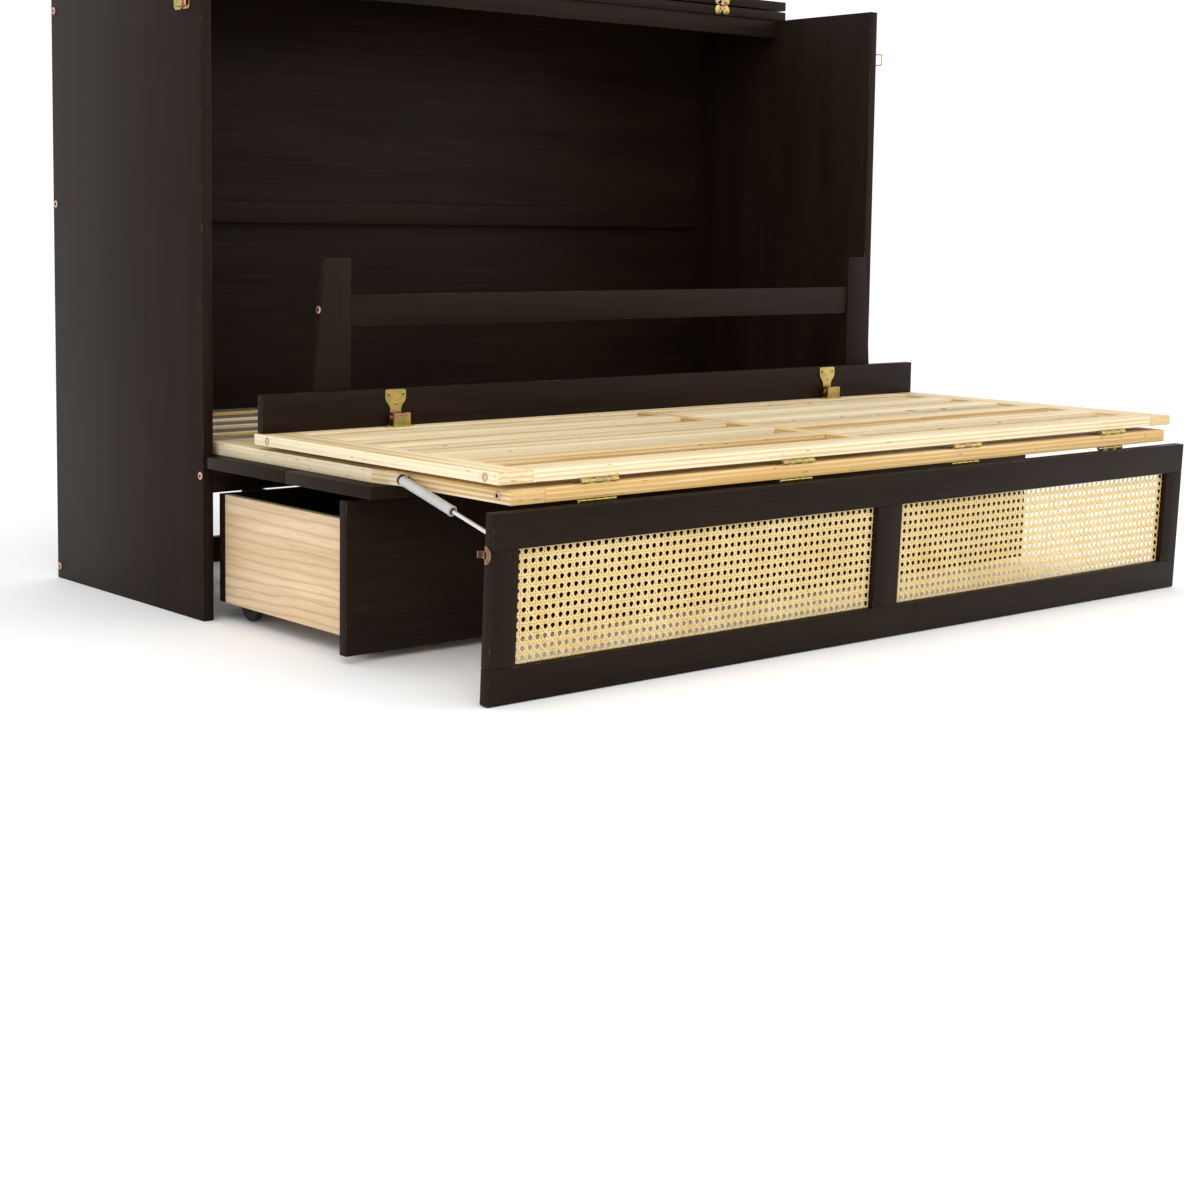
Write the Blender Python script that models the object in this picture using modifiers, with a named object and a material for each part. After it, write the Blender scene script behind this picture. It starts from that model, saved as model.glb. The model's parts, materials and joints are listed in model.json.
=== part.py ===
"""A folding cabinet bed: a stained chest whose front lowers on hinges to make a slatted bed.

The cabinet's front plane is the reference for every y value; +X is to the right, +Y to the back.
Every moving group hangs on an empty that stands on its joint's axis.
"""
import math

import bmesh
import bpy
from mathutils import Vector

# ---- driving sizes, in metres ----
CABINET_WIDTH = 1.460
CABINET_HEIGHT = 1.000
CABINET_DEPTH = 0.478
SIDE_THICKNESS = 0.0175
FRONT_THICKNESS = 0.0165
SEAT_GAP = 0.0003
EDGE_ROUND = 0.0012
BOX_EDGE_LIMIT = 4

DECK_THICKNESS = 0.019
DECK_TOP = 0.2670
DECK_END_RAIL = 0.050
DECK_SIDE_RAIL = 0.055
DECK_CENTRE_RAIL = 0.026
DECK_SLAT = 0.050
HEAD_SLATS = 3
MIDDLE_SLATS = 5
FOOT_SLATS = 4

MIDDLE_SIDE_CLEARANCE = 0.0195
MIDDLE_LENGTH = 0.6975
MIDDLE_REAR_INSET = 0.0155
FOOT_SIDE_CLEARANCE = 0.0015
FOOT_LENGTH = 0.567
FOOT_THICKNESS = 0.0155
FOOT_FRONT_SETBACK = 0.002
FOOT_STACK_GAP = 0.0075
FOOT_AXIS_FORWARD = 0.003
HEAD_AXIS_BACK = 0.003

BARREL_RADIUS = 0.0026
LEAF_THICKNESS = 0.0012
LEAF_REACH = 0.026
BUTT_HINGE_WIDTH = 0.0635
BUTT_HINGE_X = (-0.549, -0.183, 0.183, 0.549)
DECK_HINGE_X = 0.366

PANEL_LEAN = math.radians(2.4)
PANEL_HEIGHT = 0.2415
PANEL_AXIS_DROP = 0.00285
PANEL_AXIS_INSET = 0.0035
PANEL_AXIS_BACK = 0.0015
PANEL_TOP_DROP = 0.0024
PANEL_RAIL = 0.0465
PANEL_STILE = 0.042
PANEL_MUNTIN = 0.0526
CANE_THICKNESS = 0.003
CANE_SET = 0.008

PLANK_THICKNESS = 0.0172
PLANK_START = 0.012
PLANK_SEAM = 0.002
PLANK_PANEL_GAP = 0.0015

FRONT_RAIL_BOTTOM = 0.195
FRONT_RAIL_INSET = 0.0005
FRONT_RAIL_DEPTH = 0.0175
BACK_THICKNESS = 0.009
BACK_BOTTOM = 0.121
MID_RAIL_BOTTOM = 0.592
MID_RAIL_HEIGHT = 0.037
LOW_RAIL_HEIGHT = 0.044
LOW_STILE_X = 0.334
LOW_STILE_WIDTH = 0.042
LOW_STILE_TENON = 0.010
TOP_RAIL_HEIGHT = 0.034
TOP_RAIL_SETBACK = 0.003

LID_THICKNESS = 0.017
LID_OVERHANG = 0.0035
LID_SPLIT = 0.242
LID_LENGTH = 0.259
LID_AXIS_FORWARD = 0.002
LID_AXIS_RISE = 0.0014
LID_HINGE_X = 0.557
LID_HINGE_WIDTH = 0.040
LID_BARREL_RADIUS = 0.0019
LID_BARREL_WIDTH = 0.014
LID_LEAF_HEIGHT = 0.0155

LEG_BOARD_INSET = 0.0244
LEG_BOARD_HEIGHT = 0.056
LEG_BOARD_THICKNESS = 0.0155
LEG_THICKNESS = 0.015
LEG_INNER_X = 0.5432
LEG_TIP_WIDTH = 0.0465
LEG_ROOT_WIDTH = 0.066
LEG_FLOOR_GAP = 0.0005
CROSSBAR_RISE = 0.150
CROSSBAR_HEIGHT = 0.047
CROSSBAR_THICKNESS = 0.012
LEG_AXIS_FORWARD = 0.0095
LEG_AXIS_RISE = 0.014
BRACKET_X = 0.474
BRACKET_PLATE_WIDTH = 0.038
BRACKET_PLATE_TOP = 0.055
BRACKET_BASE_WIDTH = 0.030
BRACKET_BASE_FRONT = 0.010
BRACKET_BASE_REAR = 0.007
BRACKET_BASE_HEIGHT = 0.0205
BRACKET_METAL = 0.0016
BRACKET_PIN = 0.0022

LATCH_Z = 0.9130
LATCH_WIDTH = 0.022
LATCH_METAL = 0.0015
LATCH_FRONT_Y = 0.030
LATCH_REAR_Y = 0.072
LEVER_AXIS_Y = 0.064
LEVER_AXIS_OUT = 0.0048
LEVER_KNUCKLE = 0.0024
LEVER_PIN = 0.0011
LEVER_PIN_CLEARANCE = 0.0003
LEVER_WIDTH = 0.0130
LEVER_EAR = 0.0016
LEVER_REACH = 0.030
BAIL_AXIS_REACH = 0.021
BAIL_WIRE = 0.0013
BAIL_LENGTH = 0.040
BAIL_ROOT_WIDTH = 0.0235
BAIL_TIP_WIDTH = 0.0190
BAIL_SWING = math.radians(22)
HOOK_DROP = 0.0550
HOOK_PLATE_HEIGHT = 0.024
HOOK_PLATE_DEPTH = 0.0125
HOOK_ARM_WIDTH = 0.009
HOOK_ARM_REACH = 0.0085
HOOK_LIP_RISE = 0.005

STRUT_RADIUS = 0.0068
STRUT_SIDE_GAP = 0.0032
STRUT_TUBE = 0.112
STRUT_BORE_START = 0.018
STRUT_END_RADIUS = 0.0060
STRUT_PIN = 0.0022
ROD_RADIUS = 0.0030
ROD_CLEARANCE = 0.0005
ROD_START = 0.064
STRUT_UPPER_Y = -0.468
STRUT_UPPER_Z = 0.2585
STRUT_LOWER_BACK = 0.0125
STRUT_LOWER_DROP = 0.0385
EYE_RADIUS = 0.0055
EYE_HOLE = 0.0024
EYE_THICKNESS = 0.0050

DRAWER_PULL = 0.3600
DRAWER_CLOSED_GAP = 0.0005
DRAWER_FACE_BOTTOM = 0.0110
DRAWER_FACE_TOP = 0.2225
DRAWER_SIDE_INSET = 0.030
DRAWER_BOARD = 0.012
DRAWER_BACK = 0.0165
DRAWER_BOX_BOTTOM = 0.0275
DRAWER_BOX_TOP = 0.190
DRAWER_BOX_LENGTH = 0.3645
DRAWER_FLOOR = 0.006
DRAWER_FLOOR_Z = 0.0525
WHEEL_RADIUS = 0.0215
WHEEL_WIDTH = 0.0150
WHEEL_ROUND = 0.003
WHEEL_HUB = 0.008
AXLE_RADIUS = 0.0030
AXLE_CLEARANCE = 0.0004
WHEEL_X = 0.6665
WHEEL_REAR_HOME = 0.324
WHEEL_FRONT_HOME = 0.042
WHEEL_FLOOR_GAP = 0.0002
CLEAT_WIDTH = 0.034
CLEAT_THICKNESS = 0.0028
CLEAT_OVERRUN = 0.022
CLEAT_EAR = 0.0024
CLEAT_EAR_DEPTH = 0.013

# ---- sizes that follow ----
HALF_WIDTH = CABINET_WIDTH / 2
INNER_HALF = HALF_WIDTH - SIDE_THICKNESS
MIDDLE_HALF = INNER_HALF - MIDDLE_SIDE_CLEARANCE
FOOT_HALF = INNER_HALF - FOOT_SIDE_CLEARANCE
DECK_BOTTOM = DECK_TOP - DECK_THICKNESS
MIDDLE_FRONT = MIDDLE_REAR_INSET - MIDDLE_LENGTH
HEAD_AXIS_Y = MIDDLE_REAR_INSET + HEAD_AXIS_BACK
HEAD_AXIS_Z = DECK_TOP
HEAD_FRONT = HEAD_AXIS_Y + HEAD_AXIS_BACK
FOOT_BOTTOM = DECK_TOP + FOOT_STACK_GAP
FOOT_TOP = FOOT_BOTTOM + FOOT_THICKNESS
FOOT_FRONT = MIDDLE_FRONT + FOOT_FRONT_SETBACK
FOOT_REAR = FOOT_FRONT + FOOT_LENGTH
FOOT_AXIS_Y = FOOT_FRONT - FOOT_AXIS_FORWARD
FOOT_AXIS_Z = DECK_TOP + FOOT_STACK_GAP / 2
PANEL_AXIS_Y = MIDDLE_FRONT + PANEL_AXIS_INSET
PANEL_AXIS_Z = DECK_BOTTOM - PANEL_AXIS_DROP
PANEL_REAR = PANEL_AXIS_Y - PANEL_AXIS_BACK
PANEL_FRONT = PANEL_REAR - FRONT_THICKNESS
PANEL_TOP = PANEL_AXIS_Z - PANEL_TOP_DROP
PANEL_BOTTOM = PANEL_TOP - PANEL_HEIGHT
PLANK_TOP = DECK_BOTTOM - SEAT_GAP
PLANK_END = PANEL_AXIS_Y + (PANEL_AXIS_Z - PANEL_BOTTOM) + PLANK_PANEL_GAP
LEG_BOARD_HALF = HALF_WIDTH - LEG_BOARD_INSET
LEG_BOARD_REAR = FOOT_REAR
LEG_BOARD_FRONT = LEG_BOARD_REAR - LEG_BOARD_THICKNESS
LEG_BOTTOM = FOOT_TOP + SEAT_GAP
LEG_AXIS_Y = LEG_BOARD_FRONT - LEG_AXIS_FORWARD
LEG_AXIS_Z = FOOT_TOP + LEG_AXIS_RISE
LEG_TIP = 2 * FOOT_AXIS_Z - LEG_FLOOR_GAP
BRACKET_SWEEP = LEG_AXIS_FORWARD - BRACKET_METAL - 2 * SEAT_GAP
LID_AXIS_Y = LID_SPLIT - LID_AXIS_FORWARD
TOP_BOARD_BOTTOM = CABINET_HEIGHT + SEAT_GAP
TOP_BOARD_TOP = TOP_BOARD_BOTTOM + LID_THICKNESS
LID_AXIS_Z = TOP_BOARD_TOP + LID_AXIS_RISE
LID_BOTTOM = LID_AXIS_Z + LID_AXIS_RISE
FRONT_Y = -(LID_SPLIT + LID_LENGTH + PANEL_FRONT) / 2
DRAWER_FACE_REAR = -DRAWER_CLOSED_GAP - DRAWER_PULL
DRAWER_BOX_FRONT = DRAWER_FACE_REAR + SEAT_GAP
DRAWER_BOX_REAR = DRAWER_BOX_FRONT + DRAWER_BOX_LENGTH
DRAWER_OUTER = HALF_WIDTH - DRAWER_SIDE_INSET
DRAWER_INNER = DRAWER_OUTER - DRAWER_BOARD
WHEEL_REAR_Y = WHEEL_REAR_HOME - DRAWER_PULL
WHEEL_FRONT_Y = WHEEL_FRONT_HOME - DRAWER_PULL
WHEEL_AXIS_Z = WHEEL_RADIUS + WHEEL_FLOOR_GAP
STRUT_X = MIDDLE_HALF + STRUT_SIDE_GAP + STRUT_RADIUS
SIDES = (("left", -1), ("right", 1))

FINISHES = {
    "espresso_wood": ((0.030, 0.020, 0.016, 1), 0.45, 0.0),
    "pine": ((0.80, 0.62, 0.36, 1), 0.60, 0.0),
    "cane": ((0.82, 0.62, 0.32, 1), 0.60, 0.0),
    "oak_laminate": ((0.72, 0.56, 0.38, 1), 0.50, 0.0),
    "zinc_steel": ((0.72, 0.60, 0.32, 1), 0.32, 1.0),
    "strut_grey": ((0.62, 0.62, 0.60, 1), 0.30, 0.0),
    "chrome": ((0.80, 0.80, 0.80, 1), 0.12, 1.0),
    "black_plastic": ((0.02, 0.02, 0.02, 1), 0.60, 0.0),
}


# ---- tools ----
def clear_scene():
    for old in list(bpy.data.objects):
        bpy.data.objects.remove(old, do_unlink=True)


def collection(name):
    made = bpy.data.collections.new(name)
    bpy.context.scene.collection.children.link(made)
    return made


def finish_material(name):
    found = bpy.data.materials.get(name)
    if found:
        return found
    colour, roughness, metallic = FINISHES[name]
    made = bpy.data.materials.new(name)
    made.use_nodes = True
    shader = made.node_tree.nodes["Principled BSDF"]
    shader.inputs["Base Color"].default_value = colour
    shader.inputs["Roughness"].default_value = roughness
    shader.inputs["Metallic"].default_value = metallic
    return made


def place(thing, point, carrier):
    """Stand a thing at a design point and hang it on its carrier."""
    thing["design"] = tuple(point)
    if carrier:
        thing.parent = carrier
        thing.location = Vector(point) - Vector(carrier["design"])
    else:
        thing.location = (point[0], point[1] + FRONT_Y, point[2])


def axis_empty(name, point, carrier=None):
    """An empty on a joint's axis."""
    empty = bpy.data.objects.new(name, None)
    parts.objects.link(empty)
    place(empty, point, carrier)
    return empty


def new_object(name, mesh, point, carrier, finish=None):
    """A visible piece, or a cutter where no finish is given."""
    made = bpy.data.objects.new(name, mesh)
    if finish:
        parts.objects.link(made)
        mesh.materials.append(finish_material(finish))
    else:
        cutters.objects.link(made)
        made.hide_render = True
        made.display_type = "WIRE"
    place(made, point, carrier)
    return made


def boxes_mesh(name, spans):
    mesh = bpy.data.meshes.new(name)
    shape = bmesh.new()
    for low, high in spans:
        cube = bmesh.ops.create_cube(shape, size=1.0)["verts"]
        bmesh.ops.scale(shape, vec=high - low, verts=cube)
        bmesh.ops.translate(shape, vec=(low + high) / 2, verts=cube)
    shape.to_mesh(mesh)
    shape.free()
    return mesh


def box(name, low, high, finish=None, carrier=None, ease=0.0):
    """A board between two corners; an eased one has its edges taken off."""
    low, high = Vector(low), Vector(high)
    middle = (low + high) / 2
    mesh = boxes_mesh(name, [(low - middle, high - middle)])
    made = new_object(name, mesh, middle, carrier, finish)
    if ease:
        edges = made.modifiers.new("eased_edges", "BEVEL")
        edges.width = min(ease, min(high - low) / BOX_EDGE_LIMIT)
        edges.segments = 1
    return made


def board(name, low, high, carrier=None, finish="espresso_wood"):
    return box(name, low, high, finish, carrier, EDGE_ROUND)


def mirrored_x(sign, near, far):
    """The lower and upper x of a span given by its distances from the middle."""
    return min(sign * near, sign * far), max(sign * near, sign * far)


def lay_along(thing, direction):
    thing.rotation_mode = "QUATERNION"
    thing.rotation_quaternion = Vector(direction).to_track_quat("Z", "Y")


def rod(name, start, end, radius, carrier=None, finish=None, sides=20):
    """A round bar between two points."""
    start, end = Vector(start), Vector(end)
    mesh = bpy.data.meshes.new(name)
    shape = bmesh.new()
    bmesh.ops.create_cone(
        shape, cap_ends=True, segments=sides, radius1=radius, radius2=radius, depth=(end - start).length
    )
    shape.to_mesh(mesh)
    shape.free()
    mesh.shade_smooth()
    mesh.set_sharp_from_angle(angle=math.radians(35))
    made = new_object(name, mesh, (start + end) / 2, carrier, finish)
    lay_along(made, end - start)
    return made


def cross_rod(name, centre, half, y, z, radius, carrier, finish=None):
    """A round bar that runs along X."""
    return rod(name, (centre - half, y, z), (centre + half, y, z), radius, carrier, finish)


def combine(base, tools, operation="UNION"):
    """Join tools to a base, or cut them out of it."""
    for tool in tools:
        step = base.modifiers.new(operation.lower() + "_" + tool.name, "BOOLEAN")
        step.operation = operation
        step.solver = "EXACT"
        step.object = tool
    return base


# ---- slatted decks and hinges ----
def slatted_deck(name, half, rear, front, bottom, thickness, slats, carrier=None):
    """A frame of rails with slats across it, cut from one board by its gaps."""
    deck = box(name, (-half, front, bottom), (half, rear, bottom + thickness), "pine", carrier, EDGE_ROUND)
    gap = (rear - front - 2 * DECK_END_RAIL - slats * DECK_SLAT) / (slats + 1)
    middle = Vector((0, (rear + front) / 2, bottom + thickness / 2))
    spans = []
    for number in range(slats + 1):
        near = front + DECK_END_RAIL + number * (gap + DECK_SLAT)
        for side in (-1, 1):
            left, right = mirrored_x(side, DECK_CENTRE_RAIL / 2, half - DECK_SIDE_RAIL)
            low = Vector((left, near, bottom - thickness)) - middle
            high = Vector((right, near + gap, bottom + 2 * thickness)) - middle
            spans.append((low, high))
    gaps = new_object(name + "_gaps", boxes_mesh(name + "_gaps", spans), middle, carrier)
    return combine(deck, [gaps], "DIFFERENCE")


def hinge(name, centre, width, axis, leaf_low, leaf_high, carrier, barrel=(BARREL_RADIUS, None)):
    """A hinge's moving leaf and its barrel; axis and leaf corners are (y, z) pairs."""
    half = width / 2
    radius, barrel_width = barrel
    leaf = box(name, (centre - half, *leaf_low), (centre + half, *leaf_high), "zinc_steel", carrier)
    barrel_half = (barrel_width or width) / 2
    return combine(leaf, [cross_rod(name + "_barrel", centre, barrel_half, *axis, radius, carrier)])


# ---- the cabinet ----
def build_cabinet():
    for side, sign in SIDES:
        left, right = mirrored_x(sign, INNER_HALF, HALF_WIDTH)
        board("side_panel_" + side, (left, 0, 0), (right, CABINET_DEPTH, CABINET_HEIGHT))
    reach = INNER_HALF - SEAT_GAP
    back_front = CABINET_DEPTH - BACK_THICKNESS
    rail_rear = back_front - SEAT_GAP
    mid_top = MID_RAIL_BOTTOM + MID_RAIL_HEIGHT
    board("back_panel", (-reach, back_front, BACK_BOTTOM), (reach, CABINET_DEPTH, CABINET_HEIGHT))
    rail_front = rail_rear - FRONT_THICKNESS
    board("back_mid_rail", (-reach, rail_front, MID_RAIL_BOTTOM), (reach, rail_rear, mid_top))
    build_back_low_frame(reach)
    board(
        "deck_front_rail",
        (-reach, FRONT_RAIL_INSET, FRONT_RAIL_BOTTOM),
        (reach, FRONT_RAIL_INSET + FRONT_RAIL_DEPTH, DECK_BOTTOM - SEAT_GAP),
    )
    slatted_deck("head_deck", reach, rail_rear, HEAD_FRONT, DECK_BOTTOM, DECK_THICKNESS, HEAD_SLATS)
    over = HALF_WIDTH + LID_OVERHANG
    board("top_board", (-over, LID_SPLIT, TOP_BOARD_BOTTOM), (over, CABINET_DEPTH, TOP_BOARD_TOP))
    rail_front = LID_SPLIT + TOP_RAIL_SETBACK
    board(
        "top_front_rail",
        (-reach, rail_front, CABINET_HEIGHT - TOP_RAIL_HEIGHT),
        (reach, rail_front + FRONT_THICKNESS, CABINET_HEIGHT),
    )


def build_back_low_frame(reach):
    front = CABINET_DEPTH - FRONT_THICKNESS
    frame_high = (reach, CABINET_DEPTH, LOW_RAIL_HEIGHT)
    frame = box("back_low_frame", (-reach, front, 0), frame_high, "espresso_wood")
    stiles = []
    for side, sign in SIDES:
        left, right = mirrored_x(sign, LOW_STILE_X, LOW_STILE_X + LOW_STILE_WIDTH)
        low = (left, front, LOW_RAIL_HEIGHT - LOW_STILE_TENON)
        stiles.append(box("low_stile_" + side, low, (right, CABINET_DEPTH, BACK_BOTTOM - SEAT_GAP)))
    combine(frame, stiles)


def build_lid():
    carrier = axis_empty("lid_axis", (0, LID_AXIS_Y, LID_AXIS_Z))
    over = HALF_WIDTH + LID_OVERHANG
    lid_rear = LID_SPLIT + LID_LENGTH
    board("lid_board", (-over, LID_SPLIT, LID_BOTTOM), (over, lid_rear, LID_BOTTOM + LID_THICKNESS), carrier)
    leaf_rear = LID_SPLIT - SEAT_GAP
    for side, sign in SIDES:
        hinge(
            "lid_hinge_" + side,
            sign * LID_HINGE_X,
            LID_HINGE_WIDTH,
            (LID_AXIS_Y, LID_AXIS_Z),
            (leaf_rear - LEAF_THICKNESS, LID_AXIS_Z),
            (leaf_rear, LID_BOTTOM + LID_LEAF_HEIGHT),
            carrier,
            (LID_BARREL_RADIUS, LID_BARREL_WIDTH),
        )


# ---- the middle section and the planks under it ----
def build_middle_section(carrier):
    slatted_deck(
        "middle_deck", MIDDLE_HALF, MIDDLE_REAR_INSET, MIDDLE_FRONT, DECK_BOTTOM, DECK_THICKNESS,
        MIDDLE_SLATS, carrier,
    )
    seam = (-PLANK_START + PLANK_END) / 2
    spans = (
        ("plank_rear", seam + PLANK_SEAM / 2, -PLANK_START),
        ("plank_front", PLANK_END, seam - PLANK_SEAM / 2),
    )
    for name, front, rear in spans:
        board(name, (-HALF_WIDTH, front, PLANK_TOP - PLANK_THICKNESS), (HALF_WIDTH, rear, PLANK_TOP), carrier)
    leaf_front = MIDDLE_REAR_INSET + SEAT_GAP
    for side, sign in SIDES:
        hinge(
            "deck_hinge_" + side,
            sign * DECK_HINGE_X,
            BUTT_HINGE_WIDTH,
            (HEAD_AXIS_Y, HEAD_AXIS_Z),
            (leaf_front, DECK_BOTTOM + LEAF_THICKNESS),
            (leaf_front + LEAF_THICKNESS, HEAD_AXIS_Z),
            carrier,
        )


# ---- the foot section and its fold-down legs ----
def build_foot_section(carrier):
    slatted_deck(
        "foot_deck", FOOT_HALF, FOOT_REAR, FOOT_FRONT, FOOT_BOTTOM, FOOT_THICKNESS, FOOT_SLATS, carrier
    )
    leaf_top = FOOT_BOTTOM - SEAT_GAP
    for number, centre in enumerate(BUTT_HINGE_X, 1):
        hinge(
            "foot_hinge_%d" % number,
            centre,
            BUTT_HINGE_WIDTH,
            (FOOT_AXIS_Y, FOOT_AXIS_Z),
            (FOOT_AXIS_Y, leaf_top - LEAF_THICKNESS),
            (FOOT_AXIS_Y + LEAF_REACH, leaf_top),
            carrier,
        )
    for side, sign in SIDES:
        build_bracket_base(side, sign * BRACKET_X, carrier)


def build_bracket_base(side, centre, carrier):
    """A tray open to the top and back, whose round-shouldered cheeks hold the leg's pivot pin."""
    half = BRACKET_BASE_WIDTH / 2
    front = LEG_AXIS_Y - BRACKET_BASE_FRONT
    rear = LEG_AXIS_Y + BRACKET_BASE_REAR
    bottom = FOOT_TOP + SEAT_GAP
    top = bottom + BRACKET_BASE_HEIGHT
    base_low, base_high = (centre - half, front, bottom), (centre + half, rear, top)
    base = box("bracket_base_" + side, base_low, base_high, "zinc_steel", carrier)
    channel = box(
        "bracket_channel_" + side,
        (centre - half + BRACKET_METAL, front + BRACKET_METAL, bottom + BRACKET_METAL),
        (centre + half - BRACKET_METAL, rear + BRACKET_METAL, top + BRACKET_METAL),
        carrier=carrier,
    )
    bore = cross_rod(
        "bracket_bore_" + side, centre, BRACKET_BASE_WIDTH, LEG_AXIS_Y, LEG_AXIS_Z,
        BRACKET_PIN + SEAT_GAP, carrier,
    )
    shoulder = box(
        "bracket_shoulder_" + side,
        (centre - BRACKET_BASE_WIDTH, LEG_AXIS_Y, LEG_AXIS_Z),
        (centre + BRACKET_BASE_WIDTH, rear + BRACKET_METAL, top + BRACKET_METAL),
        carrier=carrier,
    )
    sweep = cross_rod(
        "bracket_sweep_" + side, centre, 2 * BRACKET_BASE_WIDTH, LEG_AXIS_Y, LEG_AXIS_Z,
        BRACKET_SWEEP, carrier,
    )
    combine(shoulder, [sweep], "DIFFERENCE")
    combine(base, [channel, bore, shoulder], "DIFFERENCE")


def build_legs(carrier):
    board(
        "leg_board",
        (-LEG_BOARD_HALF, LEG_BOARD_FRONT, LEG_BOTTOM),
        (LEG_BOARD_HALF, LEG_BOARD_REAR, LEG_BOTTOM + LEG_BOARD_HEIGHT),
        carrier,
    )
    leg_front = LEG_BOARD_REAR + SEAT_GAP
    for side, sign in SIDES:
        tapered_leg("foot_leg_" + side, sign, leg_front, carrier)
        build_bracket_plate(side, sign * BRACKET_X, carrier)
    reach = LEG_INNER_X - SEAT_GAP
    rear = leg_front + LEG_THICKNESS
    low = LEG_BOTTOM + CROSSBAR_RISE
    board(
        "leg_crossbar", (-reach, rear - CROSSBAR_THICKNESS, low),
        (reach, rear, low + CROSSBAR_HEIGHT), carrier,
    )


def tapered_leg(name, sign, front, carrier):
    """A leg that narrows towards its tip on the outer side only, drawn as a filled outline."""
    outline = bpy.data.curves.new(name + "_outline", "CURVE")
    outline.dimensions = "2D"
    outline.fill_mode = "BOTH"
    outline.extrude = LEG_THICKNESS / 2
    height = LEG_TIP - LEG_BOTTOM
    corners = ((0, 0), (sign * LEG_ROOT_WIDTH, 0), (sign * LEG_TIP_WIDTH, height), (0, height))
    line = outline.splines.new("POLY")
    line.points.add(len(corners) - 1)
    for point, (x, z) in zip(line.points, corners):
        point.co = (x, z, 0, 1)
    line.use_cyclic_u = True
    drawn = bpy.data.objects.new(name + "_outline", outline)
    cutters.objects.link(drawn)
    graph = bpy.context.evaluated_depsgraph_get()
    mesh = bpy.data.meshes.new_from_object(drawn.evaluated_get(graph))
    bpy.data.objects.remove(drawn, do_unlink=True)
    shape = bmesh.new()
    shape.from_mesh(mesh)
    bmesh.ops.remove_doubles(shape, verts=shape.verts, dist=0.00001)
    bmesh.ops.recalc_face_normals(shape, faces=shape.faces)
    shape.to_mesh(mesh)
    shape.free()
    point = (sign * LEG_INNER_X, front + LEG_THICKNESS / 2, LEG_BOTTOM)
    leg = new_object(name, mesh, point, carrier, "espresso_wood")
    leg.rotation_euler.x = math.radians(90)


def build_bracket_plate(side, centre, carrier):
    """The bracket's moving half: a screwed plate, an ear that runs forward to the pivot, and the pin."""
    half = BRACKET_PLATE_WIDTH / 2
    rear = LEG_BOARD_FRONT - SEAT_GAP
    front = rear - BRACKET_METAL
    around_pin = BRACKET_PIN + BRACKET_METAL
    low = LEG_AXIS_Z - around_pin
    plate_low = (centre - half, front, low)
    plate_high = (centre + half, rear, LEG_BOTTOM + BRACKET_PLATE_TOP)
    plate = box("bracket_plate_" + side, plate_low, plate_high, "zinc_steel", carrier)
    ear_half = BRACKET_BASE_WIDTH / 2 - BRACKET_METAL - 2 * SEAT_GAP
    ear = box(
        "bracket_ear_" + side,
        (centre - ear_half, LEG_AXIS_Y - around_pin, low),
        (centre - ear_half + 2 * BRACKET_METAL, front + BRACKET_METAL / 2, LEG_AXIS_Z + around_pin),
        carrier=carrier,
    )
    pin_half = BRACKET_BASE_WIDTH / 2 + BRACKET_METAL
    pin = cross_rod("bracket_pin_" + side, centre, pin_half, LEG_AXIS_Y, LEG_AXIS_Z, BRACKET_PIN, carrier)
    combine(plate, [ear, pin])


# ---- the cane panel ----
def build_panel(carrier):
    low, high = PANEL_BOTTOM + PANEL_RAIL, PANEL_TOP - PANEL_RAIL
    frame_low, frame_high = (-HALF_WIDTH, PANEL_FRONT, PANEL_BOTTOM), (HALF_WIDTH, PANEL_REAR, PANEL_TOP)
    frame = board("panel_frame", frame_low, frame_high, carrier)
    windows = []
    cane_front = PANEL_FRONT + CANE_SET
    for side, sign in SIDES:
        left, right = mirrored_x(sign, PANEL_MUNTIN / 2, HALF_WIDTH - PANEL_STILE)
        window_low = (left, PANEL_FRONT - FRONT_THICKNESS, low)
        window_high = (right, PANEL_REAR + FRONT_THICKNESS, high)
        windows.append(box("window_" + side, window_low, window_high, carrier=carrier))
        box(
            "cane_" + side,
            (left + SEAT_GAP, cane_front, low + SEAT_GAP),
            (right - SEAT_GAP, cane_front + CANE_THICKNESS, high - SEAT_GAP),
            "cane",
            carrier,
        )
        build_hook(side, sign, carrier)
    combine(frame, windows, "DIFFERENCE")
    leaf_front = PANEL_REAR + SEAT_GAP
    for number, centre in enumerate(BUTT_HINGE_X, 1):
        hinge(
            "panel_hinge_%d" % number,
            centre,
            BUTT_HINGE_WIDTH,
            (PANEL_AXIS_Y, PANEL_AXIS_Z),
            (leaf_front, PANEL_AXIS_Z - LEAF_REACH),
            (leaf_front + LEAF_THICKNESS, PANEL_AXIS_Z),
            carrier,
        )


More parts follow.
